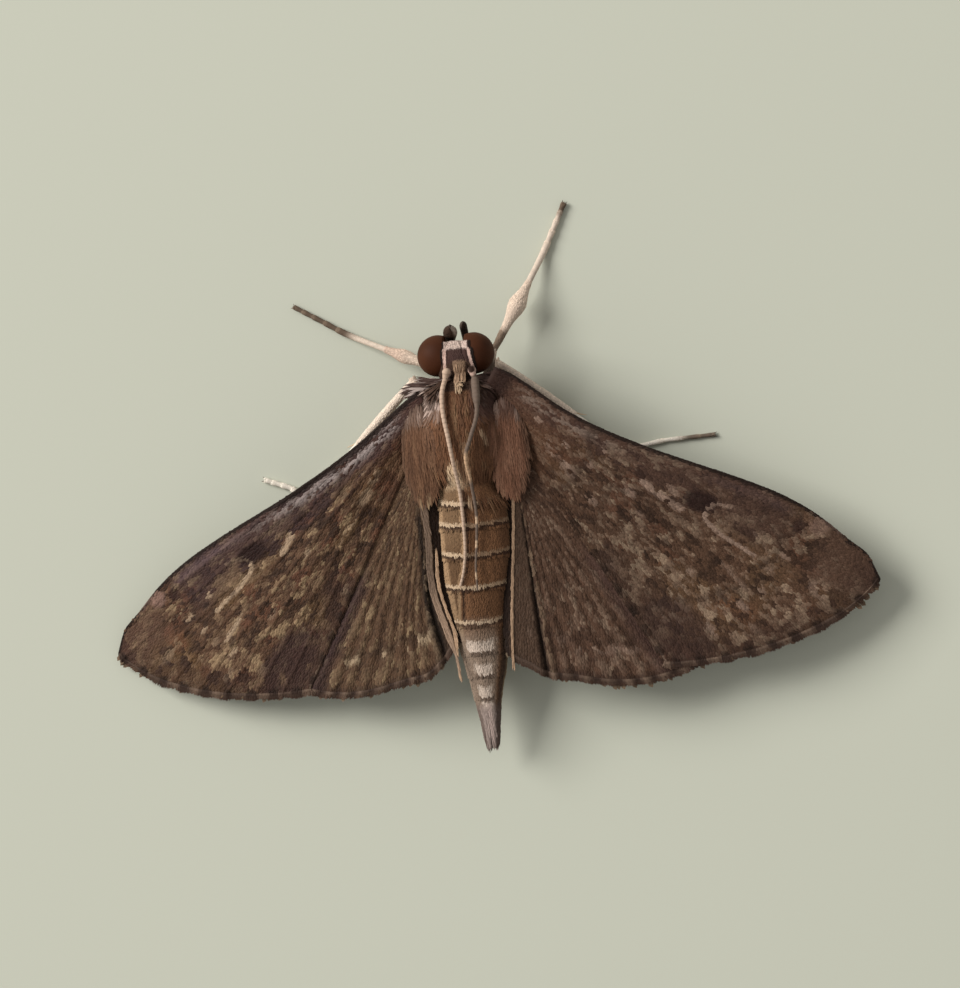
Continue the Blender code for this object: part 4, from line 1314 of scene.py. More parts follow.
# %% Coats of the fore wing
def fore_coats(label, rng):
    """Upper and lower coat of the fore wing of one side."""
    up = wing_axes(label)[3]
    coat = Coat()
    along, behind = fore_places(label, (0.058, 0.044), rng)
    root, direction, normal, tip = fore_frame(label, along, behind)
    coat.add(root, direction, normal, (0.16, 0.066), fore_colours(label, *tip),
             fore_map(label, along, behind), rng, lift=0.13)
    # Front edge: three close rows of narrow dark scales that follow it
    for row in range(3):
        along = np.arange(-0.2, film_length(label) - 0.05, 0.040)
        along = along + rng.uniform(-0.01, 0.01, len(along))
        behind = fore_edges(label, along, FRINGE)[0] + 0.030 * row
        root, direction, normal, _ = fore_frame(label, along, behind)
        outer = unit(np.cross(direction, normal))
        outer = outer * np.sign(-outer[:, 1])[:, None]
        colours = plain("#241914", len(along))
        paint(colours, "#6b554b", ease(8.5, 9.0, along) * ease(9.6, 9.2, along) * 0.7)
        coat.add(root, direction, unit(normal + outer * (0.9 - 0.4 * row)), (0.18, 0.055), colours,
                 fore_map(label, along, behind), rng, lift=0.02, curl=0.0, loose=0.03, ragged=0.1)
    # Hind edge: scales that lean over it, so that the fore wing melts into the hind wing
    for inset in (0.10, 0.06, 0.02):
        along = np.arange(0.5, FORE_CORNER[0] - 0.1, 0.036)
        along = along + rng.uniform(-0.015, 0.015, len(along))
        behind = fore_edges(label, along, FRINGE)[1] - inset * rng.uniform(0.6, 1.4, len(along))
        root, direction, normal, tip = fore_frame(label, along, behind)
        outer = unit(np.cross(direction, normal))
        outer = outer * np.sign(outer[:, 1])[:, None] * rng.uniform(0.3, 0.8, len(along))[:, None]
        coat.add(root, unit(direction + outer), unit(normal + 0.35 * outer), (0.20, 0.066),
                 fore_colours(label, *tip), fore_map(label, along, behind), rng, lift=0.03, curl=0.22)
    fore_fringe(coat, label, up, rng)
    coat.make(f"forewing_scales_{label}", wing_scale)

    coat = Coat()
    along, behind = fore_places(label, (0.115, 0.085), rng)
    keep = behind - fore_edges(label, along, FRINGE)[0] > 0.09
    along, behind = along[keep], behind[keep]
    root, direction, normal, _ = fore_frame(label, along, behind)
    pale = paint(fore_colours(label, along, behind), "#7d6a56", np.full(len(along), 0.55))
    coat.add(root - up * FILM_THICK, direction, -normal, (0.25, 0.12), pale,
             fore_map(label, along, behind), rng, loose=0.12)
    coat.make(f"forewing_scales_below_{label}", wing_scale)


print("fore wing coats: one above, one below")

# %% Coats of the hind wing, and all four wings
def hind_coats(label, rng):
    """Upper and lower coat of the hind wing of one side."""
    up = wing_axes(label)[3]
    coat = Coat()
    share, angle = hind_places(label, (0.064, 0.048), rng)
    root, direction, normal = surface_frame(hind_face(label), share, angle)
    along, gap = past_fore(label, root)
    shows = (gap > -0.12) | (along < 0.3) | (along > FORE_CORNER[0] - 0.4)      # not under the fore wing
    share, angle, root, direction, normal = picked(shows, share, angle, root, direction, normal)
    normal = facing(normal, up, 1)
    tip = share + TIP_SHOWS / hind_reach(label, angle)
    coat.add(root, direction, normal, (0.17, 0.070), hind_colours(label, tip, angle),
             hind_map(label, share, angle), rng, lift=0.11)
    hind_fringe(coat, label, up, rng)
    coat.make(f"hindwing_scales_{label}", wing_scale)

    coat = Coat()
    share, angle = hind_places(label, (0.13, 0.10), rng)
    root, direction, normal = surface_frame(hind_face(label), share, angle)
    normal = facing(normal, up, -1)
    pale = paint(hind_colours(label, share, angle), "#86745f", np.full(len(share), 0.55))
    coat.add(root - up * FILM_THICK, direction, normal, (0.27, 0.13), pale,
             hind_map(label, share, angle), rng, lift=0.10, loose=0.12)
    coat.make(f"hindwing_scales_below_{label}", wing_scale)


for label in SIDES:
    rng = np.random.default_rng(of_side(label, 100, 200))
    fore_coats(label, rng)
    hind_coats(label, rng)

# %% [markdown]
# ## Body markings
#
# One function gives the colour of the trunk at any place, and both the skin and the coat ask it. The
# head has a pinkish-white bar across the brow with pale lines running back beside the eyes, round a
# dark patch and a tan crest. The thorax is streaked brown. Each plate of the abdomen ends in a pale
# band followed by a dark line, and its tip is lilac grey.

# %% Colours of the head
EYE_LINES = {"left": (0.235, 0.260), "right": (-0.405, -0.475)}      # x of the pale lines, front and back
SOCKETS = {"left": (0.19, -3.80), "right": (-0.455, -3.83)}
CREST = np.array([(-4.10, -0.14, 0.16), (-3.86, -0.14, 0.15), (-3.68, -0.12, 0.08), (-3.52, -0.10, 0.09),
                  (-3.36, -0.09, 0.08), (-3.26, -0.09, 0.03)])       # y, x of the middle, half width
CREST_TONE, SOCKET_RIM, SOCKET_HOLE = "#9b7f68", "#c4a598", "#2c1b14"


def crest_place(x, y):
    """How far x lies to the left of the crest's middle, and the crest's half width at y."""
    return x - np.interp(y, CREST[:, 0], CREST[:, 1]), np.interp(y, CREST[:, 0], CREST[:, 2])


def head_colours(x, y):
    """Linear colours of the top of the head at (x, y)."""
    back = ease(-4.38, -3.75, y)
    behind_brow = ease(-4.36, -4.40, y)
    colours = plain("#4b382e", *x.shape)
    off_crest, half = crest_place(x, y)
    off_crest = np.abs(off_crest)
    by_crest = ease(0.34, 0.26, off_crest) * ease(-3.76, -3.66, y) * ease(-3.2, -3.4, y)
    paint(colours, "#28190f", 0.85 * by_crest)
    paint(colours, "#4c3733", 0.95 * ease(-4.00, -4.06, y))
    on_crest = ease(half + 0.03, half - 0.02, off_crest) * ease(-4.12, -4.05, y) * ease(-3.22, -3.28, y)
    paint(colours, CREST_TONE, 0.95 * on_crest)
    for front, hind in EYE_LINES.values():
        off_line = np.abs(x - front - (hind - front) * back)
        paint(colours, "#22150f", 0.6 * bell(off_line - 0.075, 0.02) * ease(-4.0, -4.06, y))
        on_line = ease(0.050, 0.028, off_line) * ease(-3.74, -3.82, y) * ease(-4.44, -4.40, y)
        paint(colours, "#d6b8ac", 0.95 * on_line)
    for socket in SOCKETS.values():
        away = np.hypot(x - socket[0], y - socket[1])
        paint(colours, SOCKET_RIM, 0.9 * ease(0.115, 0.085, away))
        paint(colours, SOCKET_HOLE, 0.95 * ease(0.045, 0.030, away))
    return paint(colours, "#cfbab0", behind_brow * ease(-0.385, -0.360, x) * ease(0.262, 0.238, x))


print("middle of the brow:", head_colours(np.zeros(1), np.full(1, -4.45))[0].round(3))

# %% Colours of the thorax
WAIST_PALE = "#d6ba9a"


def waist_wedge(x, y):
    """Strength of the tan wedge that runs from the back of the thorax to the left side of the waist."""
    run = np.clip((y + 1.63) / 0.78, 0.0, 1.0)
    return ease(-0.25, 0.03, x - 0.25 + 0.22 * run) * ease(0.05, -0.03, x - 0.25 - 0.34 * run) * (run > 0)


def thorax_colours(x, y, above, streak, fine):
    """Brown hair, streaked along, with grey shoulders on the left and dusky ones on the right."""
    colours = plain("#6d4b35", *y.shape)
    paint(colours, "#543a29", 0.6 * ease(0.48, 0.2, streak))
    paint(colours, "#836a50", 0.5 * ease(0.55, 0.85, streak * 0.6 + fine * 0.4))
    paint(colours, "#51382a", 0.5 * ease(0.30, 0.45, x) * ease(-2.0, -1.2, y))
    paint(colours, "#c3a182", 0.85 * bell(x + 0.17, 0.07) * ease(-2.1, -1.8, y) * ease(-0.9, -1.3, y))
    paint(colours, WAIST_PALE, 0.95 * waist_wedge(x, y) * above)
    grey = ease(-2.75, -3.0, y - 0.25 * (x - 0.5)) * ease(0.28, 0.42, x)
    paint(colours, "#76665e", 0.9 * grey)
    paint(colours, "#c4ada2", 0.6 * grey * ease(0.60, 0.74, fine))
    paint(colours, "#4e3c36", 0.4 * grey * ease(0.42, 0.28, fine))
    slant = bell(x + 0.70 + 0.5 * (y + 2.15), 0.045) * ease(0.22, 0.10, np.abs(y + 2.15))
    paint(colours, "#c2a487", 0.8 * slant)
    dusky = ease(-2.55, -2.95, y) * ease(-0.30, -0.50, x)
    paint(colours, "#46332f", 0.9 * dusky)
    paint(colours, "#79685f", 0.5 * dusky * ease(0.62, 0.75, fine))
    return colours


print("thorax: brown hair under", WAIST_PALE, "at the waist")

# %% Colours of the abdomen
ABDOMEN_BORDER = np.array([         # y, and x where the left side's tan and painted light begin
    (-1.4, 0.15), (-0.55, 0.09), (0.54, 0.10), (1.17, 0.19), (1.63, 0.36), (2.4, 0.44), (3.4, 0.42),
])


def abdomen_colours(y, turn, place, across, above, fine):
    """Tan left, partly painted light; dark brown right, partly painted shade; a pale band and dark line at
    every plate.
    """
    bowed = y + 0.10 * np.cos(turn) ** 2
    front_edge, hind_edge = plate_edges(bowed)
    gap_front, gap_hind = bowed - front_edge, hind_edge - bowed
    border = np.interp(y, ABDOMEN_BORDER[:, 0], ABDOMEN_BORDER[:, 1])
    # The left side faces the lamp: its tan is partly the moth's own colour and partly painted light, lighter
    # towards the front, with bright lines along the border and along the left edge.
    lit = ease(border - 0.02, border + 0.05, place) * ease(3.4, 2.9, y)
    tan = plain("#84634a", *y.shape)
    paint(tan, "#654b38", 0.5 * ease(0.5, 0.2, fine))
    # Painted shade: darker towards the right edge, the side turned from the lamp.
    paint(tan, "#654b39", 0.6 * ease(-0.65, -0.90, across))
    tan = tan + (linear("#6a5440") - tan) * lit[..., None]
    paint(tan, "#87715a", 0.7 * lit * ease(1.0, 0.3, y))
    paint(tan, "#b39a7e", 0.85 * lit * ease(0.74, 0.84, across))
    paint(tan, "#b39a7e", 0.85 * lit * ease(border + 0.13, border + 0.07, place))
    # Painted shadow of the left feeler: a dark line just right of it, beside the lit side.
    paint(tan, "#2b1c13", 0.95 * bell(place - border + 0.070, 0.042) * ease(2.9, 2.4, y))
    tail = ease(2.4, 3.3, y)
    tan = tan * np.array([0.87, 0.78, 0.69]) * (1.0 - 0.22 * ease(1.4, 2.3, y))[..., None]
    paint(tan, "#8d7c6e", 0.85 * tail * ease(-0.75, -0.45, across))
    # Painted shade on the right edge of the tail end.
    paint(tan, "#3f3027", 0.8 * tail * ease(-0.62, -0.80, across))
    # The pale bands are the moth's own, but are painted brighter on the lit left side and dimmer on the
    # right, as painted light and shade.
    band = ease(0.115, 0.065, gap_hind) * (0.45 + 0.55 * np.maximum(lit, ease(1.0, 2.0, y)))
    paint(tan, "#bfa78c", band * (1.0 - 0.35 * ease(-0.2, -0.6, across)) * (1.0 - tail))
    paint(tan, "#33221a", 0.85 * ease(0.10, 0.05, gap_front) * above * (1.0 - tail))
    beyond_patch = np.abs(across - 0.05) - 0.46 - 0.16 * ease(3.6, 3.3, y) - 0.2 * (fine - 0.5)
    patch = ease(0.30, 0.20, gap_hind - 0.10 * np.abs(across)) * ease(0.0, -0.12, beyond_patch)
    paint(tan, "#cdbcae", 0.85 * patch * tail * above)
    paint(tan, "#4d3d34", 0.6 * tail * ease(0.16, 0.08, gap_front) * ease(0.6, 0.45, np.abs(across)) * above)
    paint(tan, "#ad977a", (1.0 - above) * 0.7)
    return tan


def tuft_colours(across):
    """Lilac grey, with a painted highlight down the middle and painted shade on both sides."""
    tuft = plain("#96867f", *across.shape)
    # Painted highlight down the middle, then painted shade on both sides.
    paint(tuft, "#bda8a0", 0.8 * ease(0.35, 0.1, np.abs(across + 0.15)))
    paint(tuft, "#46352e", 0.85 * ease(-0.45, -0.65, across))
    paint(tuft, "#54443d", 0.7 * ease(0.6, 0.85, across))
    return tuft


print("plates of the abdomen:", len(PLATE_EDGES) - 1)

# %% Colours of the trunk
def trunk_colours(y, turn):
    """Linear colours of the trunk at y and turn."""
    y, turn = np.broadcast_arrays(np.asarray(y, float), np.asarray(turn, float))
    _, wide, _ = trunk_oval(y)
    x, top = wide * np.cos(turn), np.sin(turn)
    streak = noise(x * 10.0 + 40.0, y * 1.5 + 40.0, 71)
    fine = noise(x * 20.0 + 40.0, y * 4.0 + 40.0, 72)
    above = ease(-0.1, 0.35, top)
    colours = thorax_colours(x, y, above, streak, fine)
    head = ease(-3.26, -3.34, y) * ease(0.60, 0.50, np.abs(x)) * above
    colours = colours + (head_colours(x, y) - colours) * head[..., None]
    paint(colours, "#8b7966", (1.0 - above) * 0.75)          # sides and underside
    place = x + body_bend(y)
    across = place / np.maximum(wide, 0.1)
    tan = abdomen_colours(y, turn, place, across, above, fine)
    colours = colours + (tan - colours) * ease(WAIST_Y - 0.1, WAIST_Y + 0.25, y)[..., None]
    return colours + (tuft_colours(across) - colours) * ease(4.6, 4.95, y)[..., None]


print("middle of the thorax:", trunk_colours(-2.2, math.pi / 2).round(3))

# %% Colours of legs and palps
# Share of each foot at which its dark end begins; past 1 there is none
FOOT_DARK = {"foreleg_left": 0.30, "foreleg_right": 0.85, "midleg_left": 1.3, "midleg_right": 0.76}


def limb_colours(name, part, share):
    """Linear colours of a leg part at shares of its length."""
    colours = plain("#dfcab8", len(share))
    if part == "femur":
        paint(colours, "#54443a", 0.92 * ease(0.96, 0.88, share))
    if part == "tibia" and name == "foreleg_right":
        paint(colours, "#6d5947", 0.85 * ease(0.34, 0.26, share))
    if part == "tarsus":
        paint(colours, "#fbf3e6", np.full(len(share), 0.9 if name.startswith("mid") else 0.2))
        start = FOOT_DARK.get(name, 0.45)
        paint(colours, "#54402f", 0.9 * ease(start - 0.08, start + 0.08, share))
        ring = np.abs(share[:, None] - FOOT_JOINTS[1:-1]).min(axis=1)
        paint(colours, "#cdb59c", 0.2 * ease(0.025, 0.008, ring))
    if part == "tibia" and name.startswith("mid"):
        paint(colours, "#f0e0d0", np.full(len(share), 0.6))
    if part == "tibia" and name == "foreleg_left":
        paint(colours, "#b39484", 0.5 * ease(0.5, 0.8, share))
    return colours


PALP_RADII = {"left": (0.10, 0.15, 0.185, 0.18, 0.03), "right": (0.08, 0.105, 0.11, 0.10, 0.035)}
PALP_LINES = {                      # both palps lean over to the moth's right
    "left": [
        (0.26, -4.36, 1.50), (0.22, -4.66, 1.58), (0.17, -4.79, 1.84), (0.12, -4.85, 2.10),
        (0.08, -4.96, 2.38)],
    "right": [
        (-0.22, -4.36, 1.50), (-0.19, -4.70, 1.56), (-0.19, -4.92, 1.80), (-0.23, -4.99, 2.14),
        (-0.28, -5.04, 2.46)],
}


def palp_path(label):
    """Smooth path of one palp, from the mouth forwards and up in front of the face."""
    return through(PALP_LINES[label], 8)


def palp_radius(label):
    """Radius of one palp with its coat, along its path."""
    return through([(r, 0.0) for r in PALP_RADII[label]], 8)[:, 0]


def palp_colours(label, share, inner):
    """Brown palps, the right one darker, with a pale base and a pale inner side."""
    colours = plain(of_side(label, "#402f26", "#33241d"), len(share))
    paint(colours, "#cdbfb2", of_side(label, 0.8, 0.1) * ease(0.40, 0.90, inner))
    return paint(colours, "#bfa88f", 0.6 * ease(0.4, 0.15, share))


print("shares of the foot joints:", FOOT_JOINTS)

# %% [markdown]
# ## One skin
#
# Trunk, legs, palps and shoulder shields are first made as separate closed bodies that run into each
# other. A moth's cuticle is one surface, so they are then united: an exact boolean keeps the smooth
# quads of each part and cuts a clean joint between them, which a voxel remesh would blur at this size.
# The work is done at one unit to the millimetre, since the solver's tolerance suits such sizes, and the
# result is brought down to metres.

# %% Outline and dome of the shoulder shields
TEGULA_CENTRE = {"left": (1.03, -1.92), "right": (1.20, -1.92)}
TEGULA_HALF, TEGULA_THICK = (0.48, 1.22), 0.09


def tegula_reach(label, x, y):
    """0 at the middle of a shoulder shield and 1 on its rim."""
    centre = TEGULA_CENTRE[label]
    return np.hypot((x * SIDES[label] - centre[0]) / TEGULA_HALF[0], (y - centre[1]) / TEGULA_HALF[1])


def coat_depth(y):
    """How deep the skin lies under the outline: deep on the hairy thorax, shallow elsewhere."""
    return 0.045 + 0.055 * ease(-3.5, -3.0, y) * ease(-0.6, -1.1, y)


def tegula_height(label, x, y):
    """Height of a shoulder shield's skin: a low dome laid over the flank of the thorax and the wing root."""
    hinge, _, _, e_up = wing_axes(label)
    wing = hinge[2] - ((x - hinge[0]) * e_up[0] + (y - hinge[1]) * e_up[1]) / e_up[2] + FORE_LIFT
    under = np.maximum(back_height(x, y) - coat_depth(y) - 0.02, wing)
    return under + TEGULA_THICK * np.clip(1.0 - tegula_reach(label, x, y) ** 2, 0.0, 1.0)


print("shields, mm long:", 2 * TEGULA_HALF[1])

# %% Parts of the skin
def leg_tube(name):
    """One leg as a single closed tube: thigh, shin and foot with their radii run together."""
    path = np.vstack([tube[1][:-1] for tube in limbs[name][:2]] + [limbs[name][2][1]])
    radius = np.concatenate([tube[2][:-1] for tube in limbs[name][:2]] + [limbs[name][2][2]])
    radius[-1] *= 0.5
    return close_tube(tube_rings(path, radius, 14))


def trunk_tube():
    """The trunk as a closed tube, rounded off in front and drawn out behind under the tuft."""
    y = np.concatenate([[-4.60, -4.585, -4.55], np.arange(-4.50, 5.62, 0.045)])
    turn = np.arange(72) * 2 * math.pi / 72
    rings = trunk_point(y[:, None], turn[None, :], coat_depth(y)[:, None])
    centre = rings.mean(axis=1, keepdims=True)
    shrink = np.ones(len(y))
    shrink[:3] = 0.45, 0.75, 0.93
    shrink[-6:] = 0.95, 0.88, 0.78, 0.62, 0.42, 0.2
    return close_tube(centre + (rings - centre) * shrink[:, None, None])


def tegula_pad(label):
    """A shoulder shield as a closed lens whose underside sinks into the thorax and the wing root."""
    side = SIDES[label]
    share = np.linspace(0.0, 0.94, 9)[1:, None]
    turn = np.arange(28) * 2 * math.pi / 28
    x = side * (TEGULA_CENTRE[label][0] + TEGULA_HALF[0] * share * np.cos(turn))
    y = TEGULA_CENTRE[label][1] + TEGULA_HALF[1] * share * np.sin(turn)
    top = np.stack([x, y, tegula_height(label, x, y) - 0.03 * share ** 4], -1)
    low = np.stack([x[::-1], y[::-1], tegula_height(label, x[::-1], y[::-1]) - 0.36], -1)
    return close_tube(np.vstack([top, low]))


def palp_tube(label):
    """One palp as a closed tube curving up in front of the face."""
    return close_tube(tube_rings(palp_path(label), palp_radius(label) - 0.03, 16))


parts = [trunk_tube()] + [leg_tube(name) for name in LEGS]
parts += [shape(label) for shape in (palp_tube, tegula_pad) for label in SIDES]
parts = [(points, outwards(points, faces)) for points, faces in parts]
volume = sum(signed_volume(*part) for part in parts) / 6
print("skin parts:", len(parts), "volume, cubic mm:", round(volume, 2))


# %% Unite the parts
def united(parts):
    """A mesh of all closed parts as one body, by the exact boolean, in millimetres."""
    helpers = []
    for points, faces in parts:
        mesh = bpy.data.meshes.new("skin part")
        mesh.from_pydata(points.tolist(), [], [face.tolist() for block in faces for face in block])
        helpers.append(bpy.data.objects.new("skin part", mesh))
    others = bpy.data.collections.new("skin parts")
    bpy.context.scene.collection.children.link(others)
    bpy.context.scene.collection.objects.link(helpers[0])
    for helper in helpers[1:]:
        others.objects.link(helper)
    union = helpers[0].modifiers.new("union", "BOOLEAN")
    union.operation, union.solver, union.operand_type = "UNION", "EXACT", "COLLECTION"
    union.collection = others
    union.use_self = True
    made = bpy.data.meshes.new_from_object(helpers[0].evaluated_get(bpy.context.evaluated_depsgraph_get()))
    for helper in helpers:
        bpy.data.objects.remove(helper)
    bpy.data.collections.remove(others)
    return made


skin_mesh = united(parts)
print("united skin:", len(skin_mesh.vertices), "points")

# %% Colour the skin and bring it to size
def near_limb(points, path, radius):
    """Share along a limb of the nearest place on its path, and how far outside its tube each point is."""
    away = np.linalg.norm(points[:, None] - path[None], axis=2)
    nearest = away.argmin(axis=1)
    return nearest / (len(path) - 1), away[np.arange(len(points)), nearest] - radius[nearest]


SKIN_SHADE = 0.8                    # the skin is a little darker than the coat over it
count = len(skin_mesh.vertices)
skin_points = np.zeros(count * 3, np.float32)
skin_mesh.vertices.foreach_get("co", skin_points)
skin_points = skin_points.reshape(-1, 3).astype(float)
middle, _, _ = trunk_oval(skin_points[:, 1])
skin_turn = np.arctan2(skin_points[:, 2] - middle, skin_points[:, 0])
skin_colours = trunk_colours(skin_points[:, 1], skin_turn)
for name, tubes in limbs.items():
    for part, path, radius in tubes:
        share, outside = near_limb(skin_points, path, radius)
        on_limb = outside < 0.02
        skin_colours[on_limb] = limb_colours(name, part, share[on_limb])
for label in SIDES:
    share, outside = near_limb(skin_points, palp_path(label), palp_radius(label))
    on_palp = outside < 0.0
    skin_colours[on_palp] = palp_colours(label, share[on_palp], np.zeros(on_palp.sum()))
skin_mesh.vertices.foreach_set("co", to_world(skin_points).astype(np.float32).ravel())
layer = skin_mesh.color_attributes.new("scales", "FLOAT_COLOR", "POINT")
rgba = np.column_stack([skin_colours * SKIN_SHADE, np.ones(count)])
layer.data.foreach_set("color", rgba.astype(np.float32).ravel())
skin_mesh.polygons.foreach_set("use_smooth", np.ones(len(skin_mesh.polygons), bool))
skin_mesh.materials.clear()
skin_mesh.materials.append(body_skin_finish)
skin_mesh.update()
body_skin = bpy.data.objects.new("body_skin", skin_mesh)
bpy.context.scene.collection.objects.link(body_skin)
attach(body_skin, "root")
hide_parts("head", "thorax", "abdomen", "anal_tuft",
            *(f"{part}_{label}" for part in ("palp", "tegula") for label in SIDES),
            *(f"{name}_{part}" for name in LEGS for part in ("femur", "tibia", "tarsus")))
print("body skin:", len(skin_mesh.polygons), "faces")

# %% [markdown]
# ## Eyes
#
# Each eye is more than half a ball, set into the side of the head up to its cheek. It is a real dome of
# rings about the axis that points out of the head, closed behind by a flat fan inside the head.

# %% Eye domes
EYE_BACK_X = 0.27
for label, side in SIDES.items():
    widest = math.acos((EYE_BACK_X - EYE_CENTRE[0]) / EYE_RADIUS)
    polar = np.linspace(0.04, widest, 48)
    turn = np.arange(72) * 2 * math.pi / 72
    axis = EYE_RADIUS * np.cos(polar)[:, None] * np.ones(72)
    spread = EYE_RADIUS * np.sin(polar)[:, None]
    dome = np.stack([side * (EYE_CENTRE[0] + axis), EYE_CENTRE[1] + spread * np.cos(turn),
                     EYE_CENTRE[2] + spread * np.sin(turn)], -1)
    points, faces = close_tube(dome)
    points[-2, 0] = side * (EYE_CENTRE[0] + EYE_RADIUS)
    made = add_piece(f"eye_dome_{label}", points, outwards(points, faces), eye_chitin)
    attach(made, "root")
    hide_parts(f"eye_{label}")
    print(f"{label} eye: {len(points)} points, {2 * EYE_RADIUS} mm across")

# %% [markdown]
# ## Coats of the body
#
# The same scale body serves everywhere: long and narrow it is the hair of the thorax, short and broad
# the tiles of the abdomen. They are laid in rings from head to tail, each ring's number following its
# girth, and point to the tail. They are smallest on the face and the feet.

# %% Places on the trunk
def ring(number, spread, rng):
    """Turns of so many scales round a ring, evenly spaced but for a chance shift of each."""
    return (np.arange(number) + rng.random() + spread * (rng.random(number) - 0.5)) * 2 * math.pi / number


def trunk_places(y_range, y_step, arc_step, rng):
    """Places (y, turn) in rings round the trunk, arc_step apart, each ring turned by chance."""
    y, turn = [], []
    for start in np.arange(*y_range, y_step):
        _, wide, high = trunk_oval(start)
        number = max(int(math.pi * (wide + high) / arc_step), 6)
        y.append(start + y_step * 0.8 * (rng.random(number) - 0.5))
        turn.append(ring(number, 0.6, rng))
    return np.concatenate(y), np.concatenate(turn)


def trunk_frame(y, turn):
    """Skin point, direction to the tail and outward normal of the trunk."""
    def surface(y_at, turn_at):
        return trunk_point(y_at, turn_at, coat_depth(y_at))
    point, along, normal = surface_frame(surface, y, turn)
    centre = np.column_stack([np.zeros(len(y)), y, trunk_oval(y)[0]])
    return point, along, normal * np.sign(dot(normal, point - centre))[:, None]


def trunk_spots(y_range, y_step, arc_step, wanted, rng):
    """The wanted places of a stretch of the trunk: y, turn, skin point, direction and normal."""
    y, turn = trunk_places(y_range, y_step, arc_step, rng)
    point, along, normal = trunk_frame(y, turn)
    return picked(wanted(y, turn, point), y, turn, point, along, normal)


def trunk_map(y, turn, y_range):
    """Place on the unwrap of the trunk: y across and turn upwards."""
    return on_map((y - y_range[0]) / (y_range[1] - y_range[0]), (turn / (2 * math.pi)) % 1.0)


def lay_on_trunk(coat, y_range, steps, wanted, size, ahead, map_range, rng, **lie):
    """Lay scales on a stretch of the trunk; each has the colour of the place so far ahead of its root."""
    y, turn, point, along, normal = trunk_spots(y_range, *steps, wanted, rng)
    place = trunk_map(y, turn, map_range)
    coat.add(point, along, normal, size, trunk_colours(y + ahead, turn), place, rng, **lie)


def clear_of_eyes(point, margin=0.0):
    """True where a point is outside both eyes."""
    folded = np.column_stack([np.abs(point[:, 0]), point[:, 1:]])
    return np.linalg.norm(folded - EYE_CENTRE, axis=1) > EYE_RADIUS + margin


def sideways(x):
    """Vectors (n, 3) that point to the moth's left, by x each."""
    return np.column_stack([x, np.zeros((len(x), 2))])


HEAD_Y, THORAX_Y, ABDOMEN_Y, TUFT_Y = (-4.62, -3.22), (-3.5, -0.75), (-0.95, 5.02), (4.62, 5.63)
rng = np.random.default_rng(300)
print("girth of the waist, mm:", round(math.pi * sum(trunk_oval(WAIST_Y)[1:]), 2))

# %% Head: face and crown
def on_face(y, turn, point):
    """The sides and the underside of the head, outside the eyes."""
    on_top = (np.sin(turn) > 0.35) & (np.abs(point[:, 0]) < 0.55)
    return clear_of_eyes(point, 0.01) & ~on_top


def on_crown(y, turn, point):
    """The top of the head between the eyes."""
    return (np.sin(turn) > 0.3) & (np.abs(point[:, 0]) < 0.58) & clear_of_eyes(point, 0.01)


head_coat = Coat()
lay_on_trunk(head_coat, HEAD_Y, (0.045, 0.05), on_face, (0.13, 0.045), 0.0, HEAD_Y, rng,
             lift=0.25, curl=0.15, loose=0.15)
# The crown has the smallest scales, in close rows, so that its fine marks come out clean
CROWN_SIZE = (0.085, 0.032)
lay_on_trunk(head_coat, (-4.60, -3.22), (0.030, 0.024), on_crown, CROWN_SIZE, 0.04, HEAD_Y, rng,
             lift=0.16, curl=0.10, loose=0.08, ragged=0.12)
print("scales on face and crown:", [len(batch) for batch in head_coat.points])

# %% Head: rims of the eyes
for label, side in SIDES.items():
    y, x = scattered((-4.60, -3.76), of_side(label, (0.20, 0.32), (0.24, 0.56)), 0.028, 0.022, rng)
    rise = EYE_RADIUS ** 2 - (x - EYE_CENTRE[0]) ** 2 - (y - EYE_CENTRE[1]) ** 2
    inner = np.abs(EYE_LINES[label][0]) + 0.048 + of_side(label, 0.02, 0.07) * ease(-4.38, -3.75, y)
    inner = inner - of_side(label, 0.02, 0.065) * ease(-4.40, -4.44, y)
    near = (rise > 0.01) & (x < inner + of_side(label, 0.035, 0.06))
    x, y, rise, inner = picked(near, x, y, rise, inner)
    point = np.column_stack([side * x, y, EYE_CENTRE[2] + np.sqrt(rise) + 0.006])
    normal = unit(point - EYE_CENTRE * np.array([side, 1.0, 1.0]))
    run = unit(np.array([0.0, 1.0, 0.0]) - normal * normal[:, 1:2])
    colours = paint(head_colours(side * x, y + 0.04), "#1d1410", ease(-0.004, 0.006, x - inner))
    place = on_map((y - HEAD_Y[0]) / (HEAD_Y[1] - HEAD_Y[0]), np.full(len(y), of_side(label, 0.2, 0.3)))
    head_coat.add(point, run, normal, CROWN_SIZE, colours, place, rng,
                  lift=0.08, curl=0.06, loose=0.06, ragged=0.1)
    print(f"rim of the {label} eye: {len(y)} scales")

# %% Head: brow, whose scales point down
BROW_SCALES = 900
reach = np.sqrt(rng.random(BROW_SCALES)) * 0.95
turn = rng.random(BROW_SCALES) * 2 * math.pi
point = trunk_point(np.full(BROW_SCALES, -4.56), turn, 0.05)
point = point * reach[:, None] + np.array([0.0, -4.585, 2.20]) * (1 - reach)[:, None]
down = unit(np.tile([0.0, -0.25, -1.0], (BROW_SCALES, 1)))
front = unit(np.tile([0.0, -1.0, 0.15], (BROW_SCALES, 1)))
colours = paint(plain("#6d574b", BROW_SCALES), "#d3beb4", ease(2.26, 2.36, point[:, 2]))
place = trunk_map(np.full(BROW_SCALES, HEAD_Y[0] + 0.02), turn, HEAD_Y)
head_coat.add(point, down, front, (0.10, 0.036), colours, place, rng, lift=0.06, curl=0.05, loose=0.12)
print("brow:", BROW_SCALES, "scales")

# %% Head: crest between the feelers, and the bridge to the collar
def on_crest(margin):
    """A test for places on the crest, or less than margin beside it."""
    def wanted(y, turn, point):
        off, half = crest_place(point[:, 0], y)
        return (np.abs(off) < half + margin) & (np.sin(turn) > 0)
    return wanted


